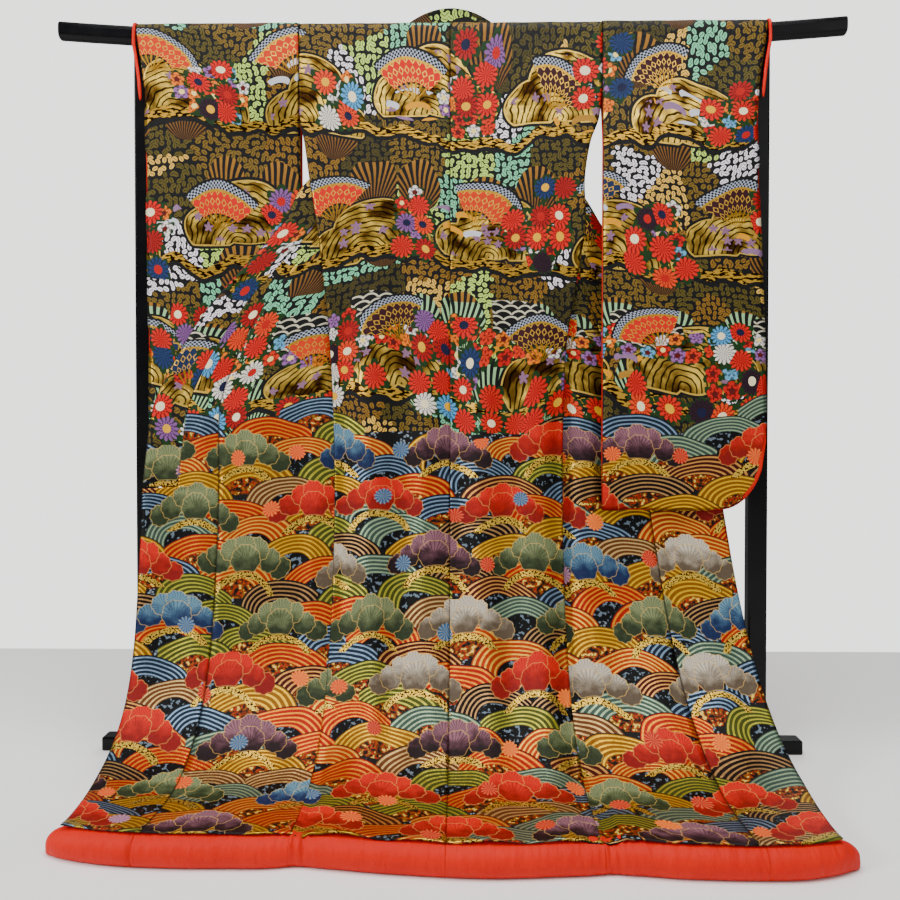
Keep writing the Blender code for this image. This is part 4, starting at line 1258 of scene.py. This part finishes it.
# %% The sleeves
SLEEVE_WIDTH = 0.330  # of the cloth, laid flat
SLEEVE_COLUMNS = 40
SLEEVE_ROWS = [0.065, 0.095, 0.13, 0.16, CUFF_OPENING, SLEEVE_DROP]
CORNER_FROM = 0.72  # share of the width from which the bottom rises to the round corner
CORNER_RISE = 0.145


def corner(x):
    """How far the bottom edge has risen round the outer corner."""
    f = max(0.0, (x - CORNER_FROM) / (1 - CORNER_FROM))
    return CORNER_RISE * (1 - math.sqrt(max(0.0, 1 - f * f)))


def sleeve(hand, side):
    rows = finer(ROD_ROWS + SLEEVE_ROWS, 0.008)
    last = len(rows) - 1
    grid = bmesh.new()
    bmesh.ops.create_grid(grid, x_segments=SLEEVE_COLUMNS, y_segments=2 * last, size=0.5)
    cloth_place = {}
    for vert in grid.verts:
        x = vert.co.x + 0.5
        index = round((vert.co.y + 0.5) * 2 * last) - last
        level = rows[abs(index)]
        drop = level - corner(x) * ease(level, 0.50, SLEEVE_DROP)
        closing = ease(level, 0.90, SLEEVE_DROP)
        vert.co = sleeve_point(hand, side, x, drop, index < 0, closing)
        cloth_place[vert] = (side * (SLEEVE_INNER + x * SLEEVE_WIDTH), drop)
    bmesh.ops.remove_doubles(grid, verts=grid.verts, dist=0.00005)
    piece = finish_cloth(f"brocade_sleeve_{hand}", grid, cloth_place, f"sleeve_{hand}", side,
                         (0.05 * side, 0.012), wall_side=1.0)


for hand, side in SIDES:
    sleeve(hand, side)

# %% [markdown]
# The red lining is rolled out over the edge of the cuffs and over the hem, round a cord of wadding.  Such
# a roll is a closed skin: a grid whose columns run along the roll and whose rows run round it.  The seams
# draw the silk together, so fine gathers run across the roll and are deepest beside its seams.


def gathers(run, turn, offset):
    """Fine folds across a roll, as a share of their full height."""
    place = Vector((run / 0.011, 0.8 * math.cos(turn), offset + 0.8 * math.sin(turn)))
    wide = Vector((run / 0.045, 0.5 * math.cos(turn), offset + 0.5 * math.sin(turn)))
    return noise.noise(place) + 0.9 * noise.noise(wide)


def roll(name, node, stations, ring, section, merge):
    """A closed roll: section(f, turn) gives its skin from one end to the other."""
    grid = bmesh.new()
    bmesh.ops.create_grid(grid, x_segments=stations, y_segments=ring, size=0.5)
    for vert in grid.verts:
        vert.co = section(vert.co.x + 0.5, 2 * math.pi * vert.co.y)
        vert.co.y += MIDDLE_Y
    bmesh.ops.remove_doubles(grid, verts=grid.verts, dist=merge)
    bmesh.ops.holes_fill(grid, edges=grid.edges, sides=0)
    bmesh.ops.recalc_face_normals(grid, faces=grid.faces)
    for face in grid.faces:
        face.smooth = len(face.verts) < 5
    piece = keep_piece(name, grid, [LINING], node)


print("one fine fold", round(gathers(0.0, 0.0, 3.0), 2), "of its full height")

# %% [markdown]
# The hem roll lies flat on the floor and is round on top.  It is sewn in lengths, one under each panel, is
# drawn in at the side seams, and ends in a rounded tip at the free edge of each overlap.

# %% The hem roll
ROLL_HEIGHT, ROLL_DEPTH = 0.050, 0.064
ROLL_BEHIND = 0.012  # from the hem line back to the middle of the roll
ROLL_FLAT = 0.12  # share of its height that its flat underside takes away
ROLL_END = 0.16  # least thickness of the tip, as a share
TIP_RUN = 0.100
GATHER_DEPTH = 0.10  # share by which a gather draws the roll in
FINE_FOLD, DEEP_FOLD = 0.0016, 0.0042  # along the roll, and more beside a gather
STATION = 0.003
HEM_SIDE_SEAM, HEM_OKUMI_SEAM, HEM_TIP = 0.256, 0.511, 0.674  # x of the seams and the tip


def hem_roll(name, node, start, end, tip=0.0):
    """One length of the hem roll; tip is the length of its rounded outer end, if it has one."""
    outer = max(abs(start), abs(end))

    def section(f, turn):
        if tip:
            f = f ** 0.6 if abs(end) > abs(start) else 1 - (1 - f) ** 0.6
        x = start + (end - start) * f
        g = max(0.0, (abs(x) - (outer - tip)) / tip) if tip else 0.0
        full = max(ROLL_END, max(0.0, 1 - g ** 3) ** 0.45)
        pulled = 1 - GATHER_DEPTH * drawn_in(x, GATHER_RUN)
        height = ROLL_HEIGHT * pulled * (0.35 + 0.65 * full)
        depth = ROLL_DEPTH * pulled * full
        rise = 0.5 * (1 + math.sin(turn))
        fold = (FINE_FOLD + DEEP_FOLD * drawn_in(x, 0.050)) * gathers(x, turn, 3.0)
        fold += HEM_PLEAT * drawn_in(x, 0.030, 0.0022)
        fold *= 0.35 + 0.65 * ease(math.sin(turn), -0.2, 0.9)
        z = height * max(0.0, rise - ROLL_FLAT * (1 - rise)) + max(0.0, fold) * ease(rise, 0.3, 0.7)
        y = along(HEM_LINE, x, 1) + ROLL_BEHIND + (0.5 * depth + fold) * math.cos(turn)
        return Vector((x, y, z))

    stations = max(24, round(abs(end - start) / STATION))
    roll(name, node, stations, 40, section, 0.00002)


for hand, side in SIDES:
    gap = -side * SEAM / 2
    side_seam, okumi_seam = side * HEM_SIDE_SEAM, side * HEM_OKUMI_SEAM
    hem_roll(f"silk_roll_back_{hand}", f"hem_roll_back_{hand}", gap, side_seam - gap)
    hem_roll(f"silk_roll_front_{hand}", f"hem_roll_front_{hand}", side_seam + gap, okumi_seam - gap)
    hem_roll(f"silk_roll_overlap_{hand}", f"hem_roll_okumi_{hand}", okumi_seam + gap, side * HEM_TIP, TIP_RUN)
print("hem roll", round(2 * HEM_TIP, 3), "m from tip to tip")

# %% [markdown]
# The cuff edges are the same roll, but thin and bent: it follows the opening for the hand up the near
# layer, over the rod and down the far layer.  So its middle is first found as a path of points on the
# sleeve's edge, and a ring is swept along it.

# %% The cuffs
CUFF_ROLL = 0.0045  # from the sleeve's edge out to the middle of the roll
CUFF_SKIN = 0.0034  # radius of the roll
NEAR_DROPS = [0.184, 0.168, 0.150, 0.132, 0.114, 0.096, 0.078, 0.060, 0.042, SHOULDER_RUN, 0.022, 0.014,
              0.007, 0.0]
FAR_DROPS = NEAR_DROPS[-2:2:-1]  # on the far side the roll ends sooner, behind the post


def cuff(hand, side):
    points = []
    for drop, far in [(drop, False) for drop in NEAR_DROPS] + [(drop, True) for drop in FAR_DROPS]:
        point = sleeve_point(hand, side, 1.0, drop, far, 0.0)
        over = 1 - ease(drop, 0.0, SHOULDER_RUN)
        point.x += side * (CUFF_ROLL + SEAM + CUFF_ROLL * ease(drop, SHOULDER_RUN, 0.055))
        point.y += (0.5 if far else -0.5) * WALL * (1 - over)
        point.z += 0.5 * WALL * over
        points.append(point)
    last = len(points) - 1

    def section(f, turn):
        index = min(int(f * last), last - 1)
        centre = points[index].lerp(points[index + 1], f * last - index)
        run = (points[min(last, index + 2)] - points[max(0, index - 1)]).normalized()
        outward = Vector((1.0, 0.0, 0.0))
        outward -= run * outward.dot(run)
        outward.normalize()
        radius = CUFF_SKIN * (1 + 0.12 * gathers(f * 0.34, turn, 9.0 * side))
        radius *= math.sqrt(max(0.05, 1 - abs(2 * f - 1) ** 24))
        return centre + radius * (math.cos(turn) * outward + math.sin(turn) * run.cross(outward))

    roll(f"silk_cuff_{hand}", f"cuff_{hand}", 110, 16, section, 0.00001)


for hand, side in SIDES:
    cuff(hand, side)

# %% [markdown]
# The stand keeps the solids of the frame, which have its true sizes and eased edges.  Only their finish is
# new: black lacquer, brushed on in coats and polished, with a soft mirror of the room in it.

# %% The stand
STAND = ["rod", "base_rail"]
STAND += [f"{part}_{hand}" for part in ("post", "rail_end", "foot") for hand, _ in SIDES]
for name in STAND:
    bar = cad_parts[name]
    bar.data.materials.clear()
    bar.data.materials.append(LACQUER)
print("stand pieces", len(STAND))

# %% [markdown]
# The room is only a pale floor that ends a little behind the stand, where a wall would begin.  No wall is
# built, because it would hide the garment from behind: a plain pale world stands in for it.

# %% The floor
FLOOR_END = 0.95
FLOOR_SIZE = 12.0, 7.0
grid = bmesh.new()
bmesh.ops.create_grid(grid, x_segments=1, y_segments=1, size=0.5)
bmesh.ops.scale(grid, vec=(*FLOOR_SIZE, 1.0), verts=grid.verts)
bmesh.ops.translate(grid, vec=(0.0, FLOOR_END - FLOOR_SIZE[1] / 2, 0.0), verts=grid.verts)
object_of("floor", grid, [PAPER])

# %% [markdown]
# The cloth asks for large soft lamps.  One at the left grazes the cloth and draws its folds, one above
# lights the sweep on the floor, and the other two are weak and open the shadows.  The world is seen
# bright, but it lights the cloth only softly: a Light Path node tells the two apart.

# %% The light
def lamp(name, place, aim, size, watts):
    light = bpy.data.lights.new(name, "AREA")
    light.shape = "RECTANGLE"
    light.size, light.size_y = size
    light.energy = watts
    item = bpy.data.objects.new(name, light)
    item.location = place
    item.rotation_euler = (Vector(aim) - Vector(place)).to_track_quat("-Z", "Y").to_euler()
    bpy.context.scene.collection.objects.link(item)
    print(name, watts, "W")


lamp("lamp_left", (-3.2, -1.7, 2.3), (0.0, 0.1, 0.8), (1.1, 1.1), 88)
lamp("lamp_right", (2.4, -2.8, 2.2), (0.0, 0.1, 0.8), (1.6, 1.6), 16)
lamp("lamp_above", (0.0, -1.0, 3.4), (0.0, -0.4, 0.0), (2.6, 2.0), 126)
lamp("lamp_behind", (0.9, 3.0, 2.6), (0.0, 0.2, 0.9), (2.0, 2.0), 45)

world = bpy.data.worlds.new("room")
bpy.context.scene.world = world
world.use_nodes = True
tree = world.node_tree
tree.nodes.clear()
glow = put(tree, "Background", (0.90, 0.91, 0.92, 1.0), 0.33)
wall = put(tree, "Background", (1.0, 1.0, 0.985, 1.0), 2.15)
output = tree.nodes.new("ShaderNodeOutputWorld")
tree.links.new(put(tree, "MixShader", put(tree, "LightPath"), glow, wall), output.inputs["Surface"])

# %% [markdown]
# The camera stands before the garment at the height of its middle and looks almost level, so that posts
# and seams stay upright.  A small shift of the lens sets the framing.

# %% The camera
camera = bpy.data.cameras.new("camera")
camera.sensor_width = 36.0
camera.lens = 33.8
camera.shift_y = -0.0297
view = bpy.data.objects.new("camera", camera)
view.location = (0.027, MIDDLE_Y - 1.842, 0.747)
view.rotation_euler = (math.radians(90.0 - 0.96), 0.0, math.radians(0.86))
bpy.context.scene.collection.objects.link(view)
bpy.context.scene.camera = view
print("camera", [round(value, 3) for value in view.location])
